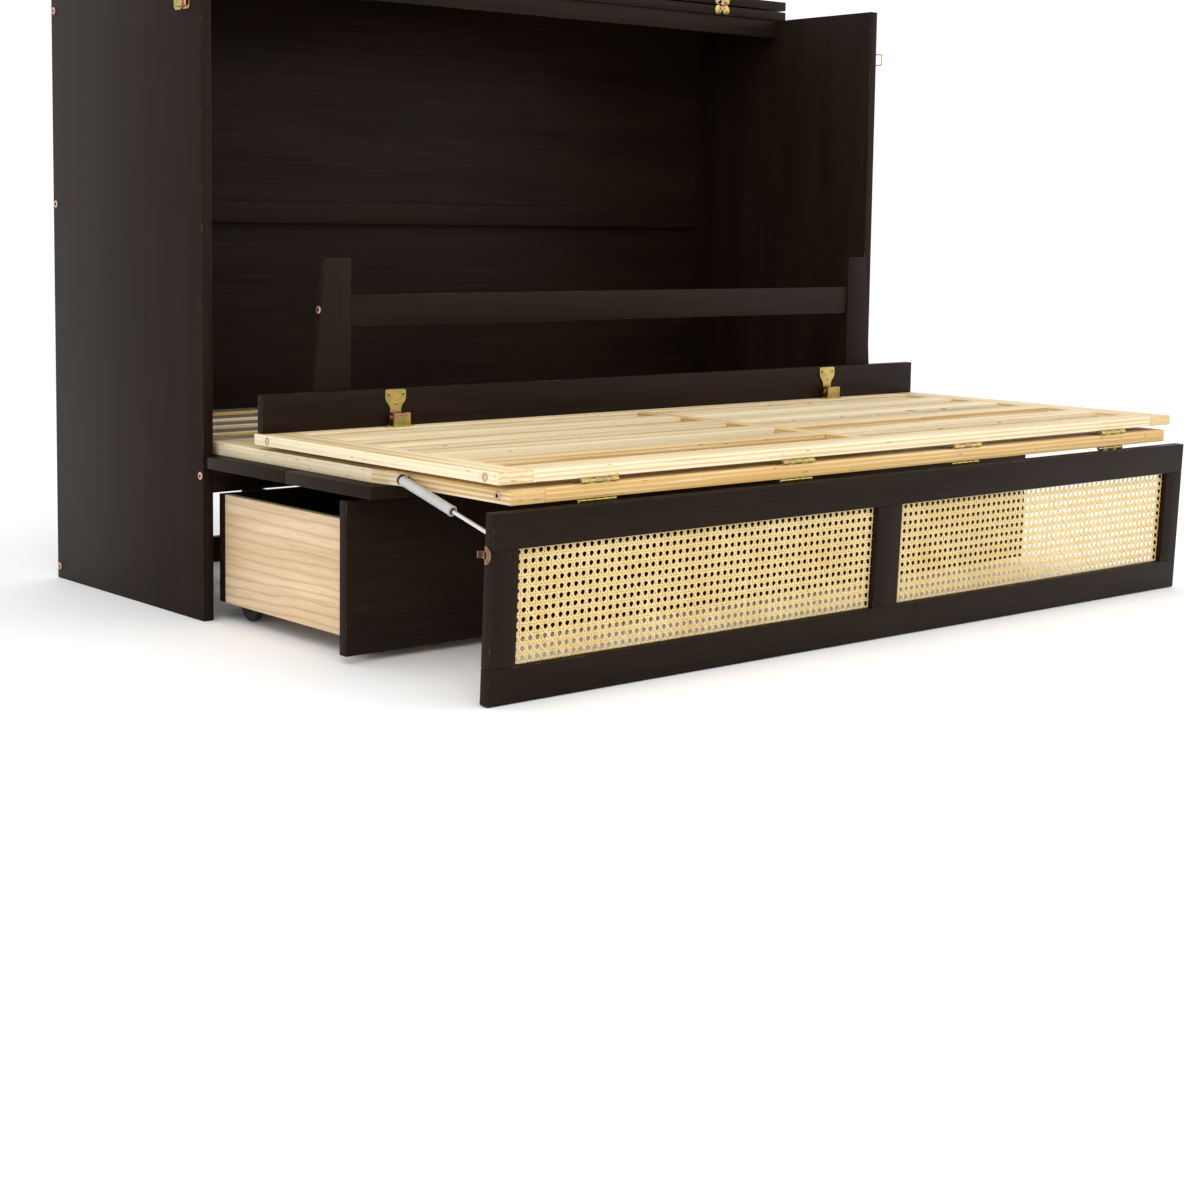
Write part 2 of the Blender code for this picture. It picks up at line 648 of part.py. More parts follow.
def build_hook(side, sign, carrier):
    """A plate on the panel's end with an arm to the rear and a turned-out lip that the bail catches."""
    inner = HALF_WIDTH + SEAT_GAP
    outer = inner + LATCH_METAL
    middle_y = (PANEL_FRONT + PANEL_REAR) / 2
    middle_z = PANEL_AXIS_Z - HOOK_DROP
    left, right = mirrored_x(sign, inner, outer)
    plate_half = HOOK_PLATE_DEPTH / 2
    plate = box(
        "hook_plate_" + side,
        (left, middle_y - plate_half, middle_z - HOOK_PLATE_HEIGHT / 2),
        (right, middle_y + plate_half, middle_z + HOOK_PLATE_HEIGHT / 2),
        "zinc_steel",
        carrier,
    )
    arm_low, arm_high = middle_z - HOOK_ARM_WIDTH / 2, middle_z + HOOK_ARM_WIDTH / 2
    arm_front, arm_rear = middle_y, middle_y + plate_half + HOOK_ARM_REACH
    arm = box("hook_arm_" + side, (left, arm_front, arm_low), (right, arm_rear, arm_high), carrier=carrier)
    left, right = mirrored_x(sign, inner, outer + HOOK_LIP_RISE)
    lip = box(
        "hook_lip_" + side, (left, arm_rear - LATCH_METAL, arm_low),
        (right, arm_rear, arm_high), carrier=carrier,
    )
    combine(plate, [arm, lip])


# ---- the latches on the cabinet's sides ----
def build_latch(side, sign):
    inner = HALF_WIDTH + SEAT_GAP
    axis_x = HALF_WIDTH + LEVER_AXIS_OUT
    low, high = LATCH_Z - LATCH_WIDTH / 2, LATCH_Z + LATCH_WIDTH / 2
    left, right = mirrored_x(sign, inner, inner + LATCH_METAL)
    plate = box("latch_plate_" + side, (left, LATCH_FRONT_Y, low), (right, LATCH_REAR_Y, high), "zinc_steel")
    lever_half = LEVER_WIDTH / 2
    ear_gap = lever_half + SEAT_GAP
    ears = []
    left, right = mirrored_x(sign, inner, axis_x + LEVER_KNUCKLE)
    for end, low in (("low", LATCH_Z - ear_gap - LEVER_EAR), ("high", LATCH_Z + ear_gap)):
        ear_low = (left, LEVER_AXIS_Y - LEVER_KNUCKLE, low)
        ear_high = (right, LEVER_AXIS_Y + LEVER_KNUCKLE, low + LEVER_EAR)
        ears.append(box("latch_ear_%s_%s" % (side, end), ear_low, ear_high))
    pin_half = ear_gap + LEVER_EAR / 2
    pin_ends = [(sign * axis_x, LEVER_AXIS_Y, LATCH_Z + end * pin_half) for end in (-1, 1)]
    ears.append(rod("latch_pin_" + side, *pin_ends, LEVER_PIN, sides=16))
    combine(plate, ears)
    carrier = axis_empty("latch_axis_" + side, (sign * axis_x, LEVER_AXIS_Y, LATCH_Z))
    knuckle = rod(
        "latch_lever_" + side,
        (sign * axis_x, LEVER_AXIS_Y, LATCH_Z - lever_half),
        (sign * axis_x, LEVER_AXIS_Y, LATCH_Z + lever_half),
        LEVER_KNUCKLE,
        carrier,
        "zinc_steel",
    )
    left, right = mirrored_x(sign, axis_x - LATCH_METAL / 2, axis_x + LATCH_METAL / 2)
    blade = box(
        "latch_blade_" + side,
        (left, LEVER_AXIS_Y - LEVER_REACH, LATCH_Z - lever_half),
        (right, LEVER_AXIS_Y, LATCH_Z + lever_half),
        carrier=carrier,
    )
    combine(knuckle, [blade])
    bore_ends = [(sign * axis_x, LEVER_AXIS_Y, LATCH_Z + end * LATCH_WIDTH) for end in (-1, 1)]
    bore = rod("lever_bore_" + side, *bore_ends, LEVER_PIN + LEVER_PIN_CLEARANCE, carrier, sides=16)
    combine(knuckle, [bore], "DIFFERENCE")
    build_bail(side, sign, axis_x, carrier)


def build_bail(side, sign, axis_x, carrier):
    """A bent wire loop that lies across the lever's outer face and swings out on it."""
    wire_x = axis_x + LATCH_METAL / 2 + SEAT_GAP + BAIL_WIRE
    root = (sign * wire_x, LEVER_AXIS_Y - BAIL_AXIS_REACH, LATCH_Z)
    pivot = axis_empty("bail_axis_" + side, root, carrier)
    pivot.rotation_euler.z = sign * BAIL_SWING
    path = bpy.data.curves.new("latch_bail_" + side, "CURVE")
    path.dimensions = "3D"
    path.bevel_depth = BAIL_WIRE
    path.bevel_resolution = 3
    path.resolution_u = 4
    path.use_fill_caps = True
    half_root, half_tip = BAIL_ROOT_WIDTH / 2, BAIL_TIP_WIDTH / 2
    corners = ((0, -half_root), (-BAIL_LENGTH, -half_tip), (-BAIL_LENGTH, half_tip), (0, half_root))
    line = path.splines.new("POLY")
    line.points.add(len(corners) - 1)
    for point, (y, z) in zip(line.points, corners):
        point.co = (0, y, z, 1)
    line.use_cyclic_u = True
    drawn = bpy.data.objects.new("bail_path_" + side, path)
    cutters.objects.link(drawn)
    graph = bpy.context.evaluated_depsgraph_get()
    mesh = bpy.data.meshes.new_from_object(drawn.evaluated_get(graph))
    bpy.data.objects.remove(drawn, do_unlink=True)
    shape = bmesh.new()
    shape.from_mesh(mesh)
    bmesh.ops.remove_doubles(shape, verts=shape.verts, dist=0.00001)
    bmesh.ops.recalc_face_normals(shape, faces=shape.faces)
    shape.to_mesh(mesh)
    shape.free()
    mesh.shade_smooth()
    new_object("latch_bail_" + side, mesh, root, pivot, "zinc_steel")


# ---- the gas struts ----
def build_strut(side, sign, deck_axis):
    """A tube on the middle section's side with a rod that slides in it towards the panel."""
    upper = Vector((sign * STRUT_X, STRUT_UPPER_Y, STRUT_UPPER_Z))
    lower = Vector((sign * STRUT_X, *panel_point(STRUT_LOWER_BACK, -STRUT_LOWER_DROP)))
    along = (lower - upper).normalized()
    pivot = axis_empty("strut_axis_" + side, upper, deck_axis)
    tube = rod(
        "strut_tube_" + side, upper - along * STRUT_END_RADIUS, upper + along * STRUT_TUBE,
        STRUT_RADIUS, pivot, "strut_grey", 24,
    )
    pin_end = Vector((sign * (MIDDLE_HALF + SEAT_GAP), upper.y, upper.z))
    pin = rod("strut_pin_" + side, upper, pin_end, STRUT_PIN, pivot)
    combine(tube, [pin])
    bore_start = upper + along * STRUT_BORE_START
    bore_end = upper + along * (STRUT_TUBE + STRUT_RADIUS)
    bore = rod("strut_bore_" + side, bore_start, bore_end, ROD_RADIUS + ROD_CLEARANCE, pivot)
    combine(tube, [bore], "DIFFERENCE")
    slide = axis_empty("rod_axis_" + side, lower, pivot)
    bar = rod("strut_rod_" + side, upper + along * ROD_START, lower, ROD_RADIUS, slide, "chrome")
    eye = cross_rod("strut_eye_" + side, lower.x, EYE_THICKNESS / 2, lower.y, lower.z, EYE_RADIUS, slide)
    combine(bar, [eye])
    hole = cross_rod("strut_eye_hole_" + side, lower.x, EYE_THICKNESS, lower.y, lower.z, EYE_HOLE, slide)
    combine(bar, [hole], "DIFFERENCE")


def panel_point(back, up):
    """Where a point given from the panel's hinge axis stands while the panel leans."""
    cos, sin = math.cos(PANEL_LEAN), math.sin(PANEL_LEAN)
    return PANEL_AXIS_Y + back * cos - up * sin, PANEL_AXIS_Z + back * sin + up * cos


# ---- the drawer ----
def build_drawer():
    carrier = axis_empty("drawer_slide", (0, DRAWER_FACE_REAR, DRAWER_BOX_BOTTOM))
    board(
        "drawer_face",
        (-HALF_WIDTH, DRAWER_FACE_REAR - FRONT_THICKNESS, DRAWER_FACE_BOTTOM),
        (HALF_WIDTH, DRAWER_FACE_REAR, DRAWER_FACE_TOP),
        carrier,
    )
    for side, sign in SIDES:
        left, right = mirrored_x(sign, DRAWER_INNER, DRAWER_OUTER)
        side_low = (left, DRAWER_BOX_FRONT, DRAWER_BOX_BOTTOM)
        side_high = (right, DRAWER_BOX_REAR, DRAWER_BOX_TOP)
        board("drawer_side_" + side, side_low, side_high, carrier, "oak_laminate")
        build_cleat(side, sign, carrier)
    reach = DRAWER_INNER - SEAT_GAP
    back_front = DRAWER_BOX_REAR - DRAWER_BACK
    board(
        "drawer_back", (-reach, back_front, DRAWER_BOX_BOTTOM),
        (reach, DRAWER_BOX_REAR, DRAWER_BOX_TOP), carrier,
    )
    box(
        "drawer_floor",
        (-reach, DRAWER_BOX_FRONT, DRAWER_FLOOR_Z),
        (reach, back_front - SEAT_GAP, DRAWER_FLOOR_Z + DRAWER_FLOOR),
        "oak_laminate",
        carrier,
    )


def build_cleat(side, sign, carrier):
    """A flat bar under the drawer's floor with a pair of ears and an axle at each wheel."""
    centre = sign * WHEEL_X
    half = CLEAT_WIDTH / 2
    top = DRAWER_FLOOR_Z - SEAT_GAP
    cleat = box(
        "caster_cleat_" + side,
        (centre - half, WHEEL_FRONT_Y - CLEAT_OVERRUN, top - CLEAT_THICKNESS),
        (centre + half, WHEEL_REAR_Y + CLEAT_OVERRUN, top),
        "black_plastic",
        carrier,
    )
    inner = WHEEL_WIDTH / 2 + 2 * SEAT_GAP
    outer = inner + CLEAT_EAR
    joined = []
    for place_name, wheel_y in (("rear", WHEEL_REAR_Y), ("front", WHEEL_FRONT_Y)):
        tag = "%s_%s" % (side, place_name)
        for edge in (-1, 1):
            left, right = mirrored_x(edge, inner, outer)
            ear_low = (centre + left, wheel_y - CLEAT_EAR_DEPTH / 2, WHEEL_AXIS_Z - 2 * AXLE_RADIUS)
            ear_high = (centre + right, wheel_y + CLEAT_EAR_DEPTH / 2, top - CLEAT_THICKNESS / 2)
            joined.append(box("caster_ear_%s_%d" % (tag, edge), ear_low, ear_high, carrier=carrier))
        axle_half = inner + CLEAT_EAR / 2
        axle = cross_rod("axle_" + tag, centre, axle_half, wheel_y, WHEEL_AXIS_Z, AXLE_RADIUS, carrier)
        joined.append(axle)
        build_wheel(tag, centre, wheel_y, carrier)
    combine(cleat, joined)


def build_wheel(tag, centre, wheel_y, carrier):
    """A round-shouldered wheel turned about its own axis."""
    hub = axis_empty("wheel_axis_" + tag, (centre, wheel_y, WHEEL_AXIS_Z), carrier)
    half = WHEEL_WIDTH / 2
    bore = AXLE_RADIUS + AXLE_CLEARANCE
    profile = (
        (WHEEL_RADIUS - WHEEL_ROUND, half),
        (WHEEL_RADIUS - WHEEL_ROUND / 4, half - WHEEL_ROUND / 3),
        (WHEEL_RADIUS, half - WHEEL_ROUND),
        (WHEEL_RADIUS, WHEEL_ROUND - half),
        (WHEEL_RADIUS - WHEEL_ROUND / 4, WHEEL_ROUND / 3 - half),
        (WHEEL_RADIUS - WHEEL_ROUND, -half),
        (bore, -half),
        (bore, half),
    )
    mesh = bpy.data.meshes.new("wheel_" + tag)
    shape = bmesh.new()
    points = [shape.verts.new((radius, 0, height)) for radius, height in profile]
    for first, second in zip(points, points[1:] + points[:1]):
        shape.edges.new((first, second))
    shape.to_mesh(mesh)
    shape.free()
    wheel = new_object("wheel_" + tag, mesh, (centre, wheel_y, WHEEL_AXIS_Z), hub, "black_plastic")
    lay_along(wheel, (1, 0, 0))
    lathe = wheel.modifiers.new("lathe", "SCREW")
    lathe.steps = 40
    lathe.render_steps = 40
    lathe.use_merge_vertices = True
    lathe.merge_threshold = 0.00005
    lathe.use_smooth_shade = True


# ---- the whole bed ----
def build_bed():
    build_cabinet()
    build_lid()
    for side, sign in SIDES:
        build_latch(side, sign)
    middle_axis = axis_empty("middle_axis", (0, HEAD_AXIS_Y, HEAD_AXIS_Z))
    build_middle_section(middle_axis)
    foot_axis = axis_empty("foot_axis", (0, FOOT_AXIS_Y, FOOT_AXIS_Z), middle_axis)
    build_foot_section(foot_axis)
    leg_axis = axis_empty("leg_axis", (0, LEG_AXIS_Y, LEG_AXIS_Z), foot_axis)
    build_legs(leg_axis)
    panel_axis = axis_empty("panel_axis", (0, PANEL_AXIS_Y, PANEL_AXIS_Z), middle_axis)
    panel_axis.rotation_euler.x = PANEL_LEAN
    build_panel(panel_axis)
    for side, sign in SIDES:
        build_strut(side, sign, middle_axis)
    build_drawer()


clear_scene()
parts = collection("murphy_wall_bed")
cutters = collection("cutters")
build_bed()
bpy.context.view_layer.update()
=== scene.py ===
import json
import math
import random

import bmesh
import bpy
import numpy as np
from mathutils import Matrix, Vector


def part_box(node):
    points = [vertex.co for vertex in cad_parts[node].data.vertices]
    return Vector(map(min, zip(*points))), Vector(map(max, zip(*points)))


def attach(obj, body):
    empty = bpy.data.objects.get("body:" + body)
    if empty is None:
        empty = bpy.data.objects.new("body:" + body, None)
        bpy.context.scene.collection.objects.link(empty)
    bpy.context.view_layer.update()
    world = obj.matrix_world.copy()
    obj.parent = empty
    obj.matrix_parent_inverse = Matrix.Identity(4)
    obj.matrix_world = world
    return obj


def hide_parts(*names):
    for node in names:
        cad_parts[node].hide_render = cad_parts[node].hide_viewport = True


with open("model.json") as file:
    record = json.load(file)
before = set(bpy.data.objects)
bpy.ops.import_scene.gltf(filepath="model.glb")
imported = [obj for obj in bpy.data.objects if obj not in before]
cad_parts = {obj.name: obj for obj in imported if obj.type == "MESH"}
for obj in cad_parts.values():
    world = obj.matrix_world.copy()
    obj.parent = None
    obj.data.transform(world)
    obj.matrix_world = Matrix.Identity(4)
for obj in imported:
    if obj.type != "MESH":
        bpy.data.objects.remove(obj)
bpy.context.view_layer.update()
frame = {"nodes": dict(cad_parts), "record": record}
random.seed(7)
print("stage: frame loaded")

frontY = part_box("side_panel_left")[0][1]  # the cabinet's front plane
joints = {joint["name"]: joint for joint in frame["record"]["behaviour"]["joints"]}
jointPlace = {name: Vector(joint["pos_m"]) for name, joint in joints.items() if "pos_m" in joint}
panelAxis = jointPlace["panel_turn"]
deckBottom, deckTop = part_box("middle_deck")[0][2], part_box("middle_deck")[1][2]
footBottom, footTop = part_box("foot_deck")[0][2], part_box("foot_deck")[1][2]
seatGap = 0.0003
panelLean = math.radians(2.4)
leanTurn = (
    Matrix.Translation(panelAxis) @ Matrix.Rotation(panelLean, 4, "X") @ Matrix.Translation(-panelAxis)
)
sides = (("left", -1), ("right", 1))


# a socket with sums, so that a pattern reads as an expression
class Val:
    def __init__(self, tree, socket):
        self.tree = tree
        self.socket = socket

    def node(self, kind, settings=None, **inputs):
        made = self.tree.nodes.new(kind)
        for key, value in (settings or {}).items():
            if key == "stops":
                ramp = made.color_ramp
                while len(ramp.elements) > 1:
                    ramp.elements.remove(ramp.elements[-1])
                ramp.elements[0].position, ramp.elements[0].color = value[0]
                for position, color in value[1:]:
                    ramp.elements.new(position).color = color
            else:
                setattr(made, key, value)
        for key, value in inputs.items():
            spot = made.inputs[int(key[1:])] if key[1:].isdigit() else made.inputs[key.replace("_", " ")]
            if isinstance(value, Val):
                self.tree.links.new(value.socket, spot)
            else:
                spot.default_value = value
        return made

    def wrap(self, made, out=0):
        return Val(self.tree, made.outputs[out])

    def sum(self, operation, other=None, third=None, flip=False):
        first, second = (other, self) if flip else (self, other)
        inputs = {"i0": first}
        if second is not None:
            inputs["i1"] = second
        if third is not None:
            inputs["i2"] = third
        return self.wrap(self.node("ShaderNodeMath", {"operation": operation}, **inputs))

    def __add__(self, other): return self.sum("ADD", other)
    def __radd__(self, other): return self.sum("ADD", other)
    def __sub__(self, other): return self.sum("SUBTRACT", other)
    def __rsub__(self, other): return self.sum("SUBTRACT", other, flip=True)
    def __mul__(self, other): return self.sum("MULTIPLY", other)
    def __rmul__(self, other): return self.sum("MULTIPLY", other)
    def __truediv__(self, other): return self.sum("DIVIDE", other)
    def least(self, other): return self.sum("MINIMUM", other)
    def most(self, other): return self.sum("MAXIMUM", other)
    def away(self): return self.sum("ABSOLUTE")

    def ramp(self, low, high):  # 0 below low, 1 above high, smooth between
        settings = {"interpolation_type": "SMOOTHSTEP"}
        return self.wrap(self.node("ShaderNodeMapRange", settings, i0=self, i1=low, i2=high, i3=0.0, i4=1.0))

    def paint(self, first, second):  # this value chooses between two colours
        made = self.node("ShaderNodeMix", {"data_type": "RGBA"}, i0=self)
        for spot, color in ((6, first), (7, second)):
            if isinstance(color, Val):
                self.tree.links.new(color.socket, made.inputs[spot])
            else:
                made.inputs[spot].default_value = (*color, 1)
        return self.wrap(made, 2)

    def stretch(self, scale, shift=(0, 0, 0)):
        made = self.node("ShaderNodeMapping", {"vector_type": "POINT"}, Vector=self)
        made.inputs["Scale"].default_value = scale
        made.inputs["Location"].default_value = shift
        return self.wrap(made)

    def noise(self, scale, detail=3.0, rough=0.55):
        made = self.node("ShaderNodeTexNoise", {}, Vector=self, Scale=scale, Detail=detail, Roughness=rough)
        return self.wrap(made)

    def parts(self):
        made = self.node("ShaderNodeSeparateXYZ", {}, Vector=self)
        return [self.wrap(made, number) for number in range(3)]


def startMaterial(name, metallic=0.0):
    material = bpy.data.materials.new(name)
    material.use_nodes = True
    tree = material.node_tree
    shader = tree.nodes["Principled BSDF"]
    shader.inputs["Metallic"].default_value = metallic
    return material, tree, shader


def objectPlace(tree):
    return Val(tree, tree.nodes.new("ShaderNodeTexCoord").outputs["Object"])


def meshAttribute(tree, name):
    made = tree.nodes.new("ShaderNodeAttribute")
    made.attribute_name = name
    return Val(tree, made.outputs["Vector"])


def finishMaterial(tree, shader, color, rough, height=None, depth=0.0005, strength=0.5):
    tree.links.new(color.socket, shader.inputs["Base Color"])
    tree.links.new(rough.socket, shader.inputs["Roughness"])
    if height is not None:
        bump = tree.nodes.new("ShaderNodeBump")
        bump.inputs["Strength"].default_value = strength
        bump.inputs["Distance"].default_value = depth
        tree.links.new(height.socket, bump.inputs["Height"])
        tree.links.new(bump.outputs["Normal"], shader.inputs["Normal"])


# distance to the nearest edge of a board, from its own place and half sizes
def edgeDistance(tree):
    placeX, placeY, placeZ = meshAttribute(tree, "place").parts()
    halfX, halfY, halfZ = meshAttribute(tree, "half").parts()
    a = halfX - placeX.away()
    b = halfY - placeY.away()
    c = halfZ - placeZ.away()
    low, high = a.least(b), a.most(b)
    return low.most(high.least(c)), a, b, c


espressoLook = {
    "dark": (0.0098, 0.0054, 0.0032),
    "light": (0.0225, 0.0126, 0.0076),
    # orange for the edges: partly stain worn thin, partly painted highlight
    "wornAndHighlight": (0.20, 0.095, 0.045),
    "rough": 0.46,
}


def espressoMaterial():
    look = espressoLook
    material, tree, shader = startMaterial("espressoStain")
    grainPlace = meshAttribute(tree, "grain")
    broad = grainPlace.stretch((1.2, 9, 9)).noise(1.6, 3.0)
    fine = grainPlace.stretch((5, 210, 210)).noise(1.0, 5.0, 0.62)
    pores = grainPlace.stretch((22, 620, 620)).noise(1.0, 2.0).ramp(0.60, 0.72)
    edge = edgeDistance(tree)[0]
    rub = grainPlace.stretch((60, 60, 60)).noise(1.0, 4.0)
    # lighter orange along some edges: partly stain worn thin, partly painted highlight where edges catch the
    # light
    wornAndHighlight = (1 - edge.ramp(0.0002, 0.0013)) * rub.ramp(0.52, 0.76) * 0.6
    tone = (broad * 0.55 + fine * 0.60 - 0.10).ramp(0.22, 0.78)
    color = tone.paint(look["dark"], look["light"])
    color = (pores * 0.35).paint(color, (0.008, 0.005, 0.004))
    color = wornAndHighlight.paint(color, look["wornAndHighlight"])
    rough = look["rough"] + (broad - 0.5) * 0.16 + wornAndHighlight * 0.25 + (fine - 0.5) * 0.10
    finishMaterial(tree, shader, color, rough, fine * 0.7 + broad * 0.2 - pores * 0.5, 0.00025, 0.35)
    shader.inputs["Specular IOR Level"].default_value = 0.07
    return material


pineLook = {
    "pale": (0.80, 0.66, 0.42),
    "warm": (0.66, 0.48, 0.25),
    "line": (0.50, 0.31, 0.12),
    "plyPale": (0.86, 0.75, 0.52),
    "plyGold": (0.66, 0.40, 0.13),
    "void": (0.13, 0.050, 0.018),
    "rough": 0.56,
}
# painted shade: a darker copy of the pine for the head deck, which lies in the cabinet's shade
shadedPineLook = {
    **pineLook, "pale": (0.26, 0.21, 0.15), "warm": (0.19, 0.145, 0.10), "line": (0.12, 0.08, 0.05),
}


# faces show long grain; the narrow edges show layers of ply with gaps in them
def pineMaterial(name, look):
    material, tree, shader = startMaterial(name)
    grainPlace = meshAttribute(tree, "grain")
    tint = meshAttribute(tree, "tint").parts()[0]
    along, across, thick = grainPlace.parts()
    wave = grainPlace.stretch((1.6, 16, 16)).noise(1.3, 2.0)
    rings = grainPlace.stretch((1.4, 95, 95)).noise(1.0, 4.0, 0.6)
    fine = grainPlace.stretch((9, 420, 420)).noise(1.0, 3.0)
    tone = (wave * 0.5 + rings * 0.5 + (tint - 0.5) * 0.16).ramp(0.36, 0.62)
    color = tone.paint(look["pale"], look["warm"])
    color = (rings.ramp(0.55, 0.66) * 0.75).paint(color, look["line"])
    a, b, c = edgeDistance(tree)[1:]
    isEdge = 1 - b.ramp(0.0003, 0.0006)
    isEnd = 1 - a.ramp(0.0003, 0.0006)
    warp = grainPlace.stretch((5, 60, 260)).noise(1.0, 4.0, 0.6)
    layer = (thick * 980 + (warp - 0.5) * 5.0).sum("SINE") * 0.5 + 0.5
    streak = grainPlace.stretch((6, 40, 620)).noise(1.0, 4.0, 0.6)
    gold = (layer * 0.42 + streak * 0.55 + (tint - 0.5) * 0.62).ramp(0.30, 0.78)
    plyColor = gold.paint(look["plyPale"], look["plyGold"])
    voids = grainPlace.stretch((34, 34, 430)).noise(1.0, 2.0).ramp(0.685, 0.73)
    plyColor = (voids * 0.9).paint(plyColor, look["void"])
    color = isEdge.most(isEnd).paint(color, plyColor)
    core = isEnd * (1 - (layer * 0.8 + streak * 0.4).ramp(0.35, 0.75)) * 0.75
    color = core.paint(color, look["plyGold"])
    rough = look["rough"] + (fine - 0.5) * 0.2
    finishMaterial(tree, shader, color, rough, fine * 0.6 - voids * isEdge.most(isEnd) * 0.8, 0.0003, 0.4)
    shader.inputs["Specular IOR Level"].default_value = 0.25
    return material


oakLook = {"pale": (0.82, 0.63, 0.40), "warm": (0.70, 0.50, 0.29), "line": (0.43, 0.27, 0.14), "rough": 0.5}


def oakMaterial():
    look = oakLook
    material, tree, shader = startMaterial("oakLaminate")
    grainPlace = meshAttribute(tree, "grain")
    wave = grainPlace.stretch((2.5, 16, 16)).noise(1.2, 2.0)
    bent = grainPlace.stretch((4.5, 150, 150)).noise(1.0, 4.0, 0.6)
    warp = grainPlace.stretch((2.2, 9, 9)).noise(1.0, 3.0)
    rings = (grainPlace.parts()[1] * 430 + warp * 17 + bent * 2.5).sum("SINE") * 0.5 + 0.5
    dashes = grainPlace.stretch((26, 520, 520)).noise(1.0, 2.0).ramp(0.58, 0.70)
    color = wave.ramp(0.3, 0.7).paint(look["pale"], look["warm"])
    color = (bent.ramp(0.50, 0.66) * 0.28).paint(color, look["line"])
    color = (rings.ramp(0.80, 1.0) * 0.34 + rings.ramp(0.2, 0.9) * 0.10).paint(color, look["line"])
    color = (dashes * 0.30).paint(color, look["line"])
    edge = edgeDistance(tree)[0]
    color = ((1 - edge.ramp(0.0002, 0.0010)) * 0.35).paint(color, (0.36, 0.24, 0.14))
    rough = look["rough"] + (bent - 0.5) * 0.14
    finishMaterial(tree, shader, color, rough, bent * 0.5 - dashes * 0.5, 0.0002, 0.3)
    return material


caneLook = {"pale": (0.87, 0.70, 0.35), "warm": (0.70, 0.47, 0.16), "rough": 0.5}


def caneMaterial():
    look = caneLook
    material, tree, shader = startMaterial("naturalCane")
    place = objectPlace(tree)
    patch = place.noise(9.0, 3.0)
    fibre = place.stretch((900, 900, 900)).noise(1.0, 2.0)
    strandTone = meshAttribute(tree, "strand").parts()[0]
    color = (patch.ramp(0.3, 0.75) * 0.45 + strandTone * 0.55).paint(look["pale"], look["warm"])
    color = (fibre.ramp(0.52, 0.8) * 0.25).paint(color, (0.60, 0.38, 0.15))
    rough = look["rough"] + (fibre - 0.5) * 0.25
    finishMaterial(tree, shader, color, rough, fibre, 0.0002, 0.4)
    return material


zincLook = {
    "gold": (0.60, 0.45, 0.15), "rose": (0.52, 0.25, 0.19), "green": (0.36, 0.42, 0.10), "rough": 0.27,
}


def zincMaterial():
    look = zincLook
    material, tree, shader = startMaterial("yellowZinc", 1.0)
    place = objectPlace(tree)
    cloud = place.noise(48.0, 3.0)
    other = place.stretch((1, 1, 1), (3.1, 1.7, 0.4)).noise(60.0, 2.0)
    spots = place.noise(900.0, 2.0)
    color = cloud.ramp(0.46, 0.66).paint(look["gold"], look["rose"])
    color = (other.ramp(0.48, 0.62) * 0.8).paint(color, look["green"])
    # painted shade: the socket in each screw head is darkened almost to black
    socket = meshAttribute(tree, "socket").parts()[0]
    color = socket.ramp(0.2, 0.6).paint(color, (0.02, 0.014, 0.008))
    rough = look["rough"] + (spots - 0.5) * 0.25 + (cloud - 0.5) * 0.12
    finishMaterial(tree, shader, color, rough, spots, 0.00012, 0.35)
    return material


def speckMaterial(name, base, other, rough, metallic=0.0, scale=600.0, strength=0.3):
    material, tree, shader = startMaterial(name, metallic)
    place = objectPlace(tree)
    speck = place.noise(scale, 3.0)
    cloud = place.noise(scale / 25, 2.0)
    color = (speck.ramp(0.42, 0.66) * 0.5 + cloud.ramp(0.35, 0.7) * 0.5).paint(base, other)
    finishMaterial(tree, shader, color, rough + (speck - 0.5) * 0.22, speck, 0.00012, strength)
    return material


looks = {
    "espresso_wood": espressoMaterial(),
    "pine": pineMaterial("barePine", pineLook),
    "oak_laminate": oakMaterial(),
    "cane": caneMaterial(),
    "zinc_steel": zincMaterial(),
    "strut_grey": speckMaterial("strutPaint", (0.46, 0.46, 0.45), (0.54, 0.54, 0.53), 0.34),
    "chrome": speckMaterial("rodChrome", (0.80, 0.80, 0.81), (0.70, 0.70, 0.72), 0.14, 1.0, 900.0, 0.1),
    "black_plastic": speckMaterial("blackPlastic", (0.010, 0.010, 0.010), (0.022, 0.022, 0.023), 0.52),
}
# painted shade: the darker pine copy for the head deck
shadedPine = pineMaterial("shadedPine", shadedPineLook)
bronze = speckMaterial("agedBronze", (0.30, 0.19, 0.12), (0.16, 0.09, 0.06), 0.38, 1.0)


def boltMaterial():
    material, tree, shader = startMaterial("boltSteel", 0.8)
    speck = objectPlace(tree).noise(500.0, 3.0)
    socket = meshAttribute(tree, "socket").parts()[0]
    color = speck.ramp(0.40, 0.66).paint((0.72, 0.46, 0.38), (0.46, 0.27, 0.16))
    # painted shade: the socket in each screw head is darkened almost to black
    color = socket.ramp(0.2, 0.6).paint(color, (0.012, 0.007, 0.005))
    finishMaterial(tree, shader, color, 0.38 + (speck - 0.5) * 0.2 + socket * 0.3, speck, 0.0001, 0.3)
    return material


boltSteel = boltMaterial()
print("stage: materials made")


def onlyThis(obj):
    bpy.ops.object.select_all(action="DESELECT")
    obj.select_set(True)
    bpy.context.view_layer.objects.active = obj


def applyPlace(obj):
    onlyThis(obj)
    bpy.ops.object.transform_apply(location=True, rotation=True, scale=True)


def bevelEdges(obj, width, segments=2, angle=30):
    bevel = obj.modifiers.new("easedEdges", "BEVEL")
    bevel.width = width
    bevel.segments = segments
    bevel.limit_method = "ANGLE"
    bevel.angle_limit = math.radians(angle)
    onlyThis(obj)
    bpy.ops.object.modifier_apply(modifier=bevel.name)


def joinPieces(name, made):
    bpy.ops.object.select_all(action="DESELECT")
    for obj in made:
        obj.select_set(True)
    bpy.context.view_layer.objects.active = made[0]
    if len(made) > 1:
        bpy.ops.object.join()
    joined = bpy.context.view_layer.objects.active
    joined.name = name
    joined.data.name = name
    return joined


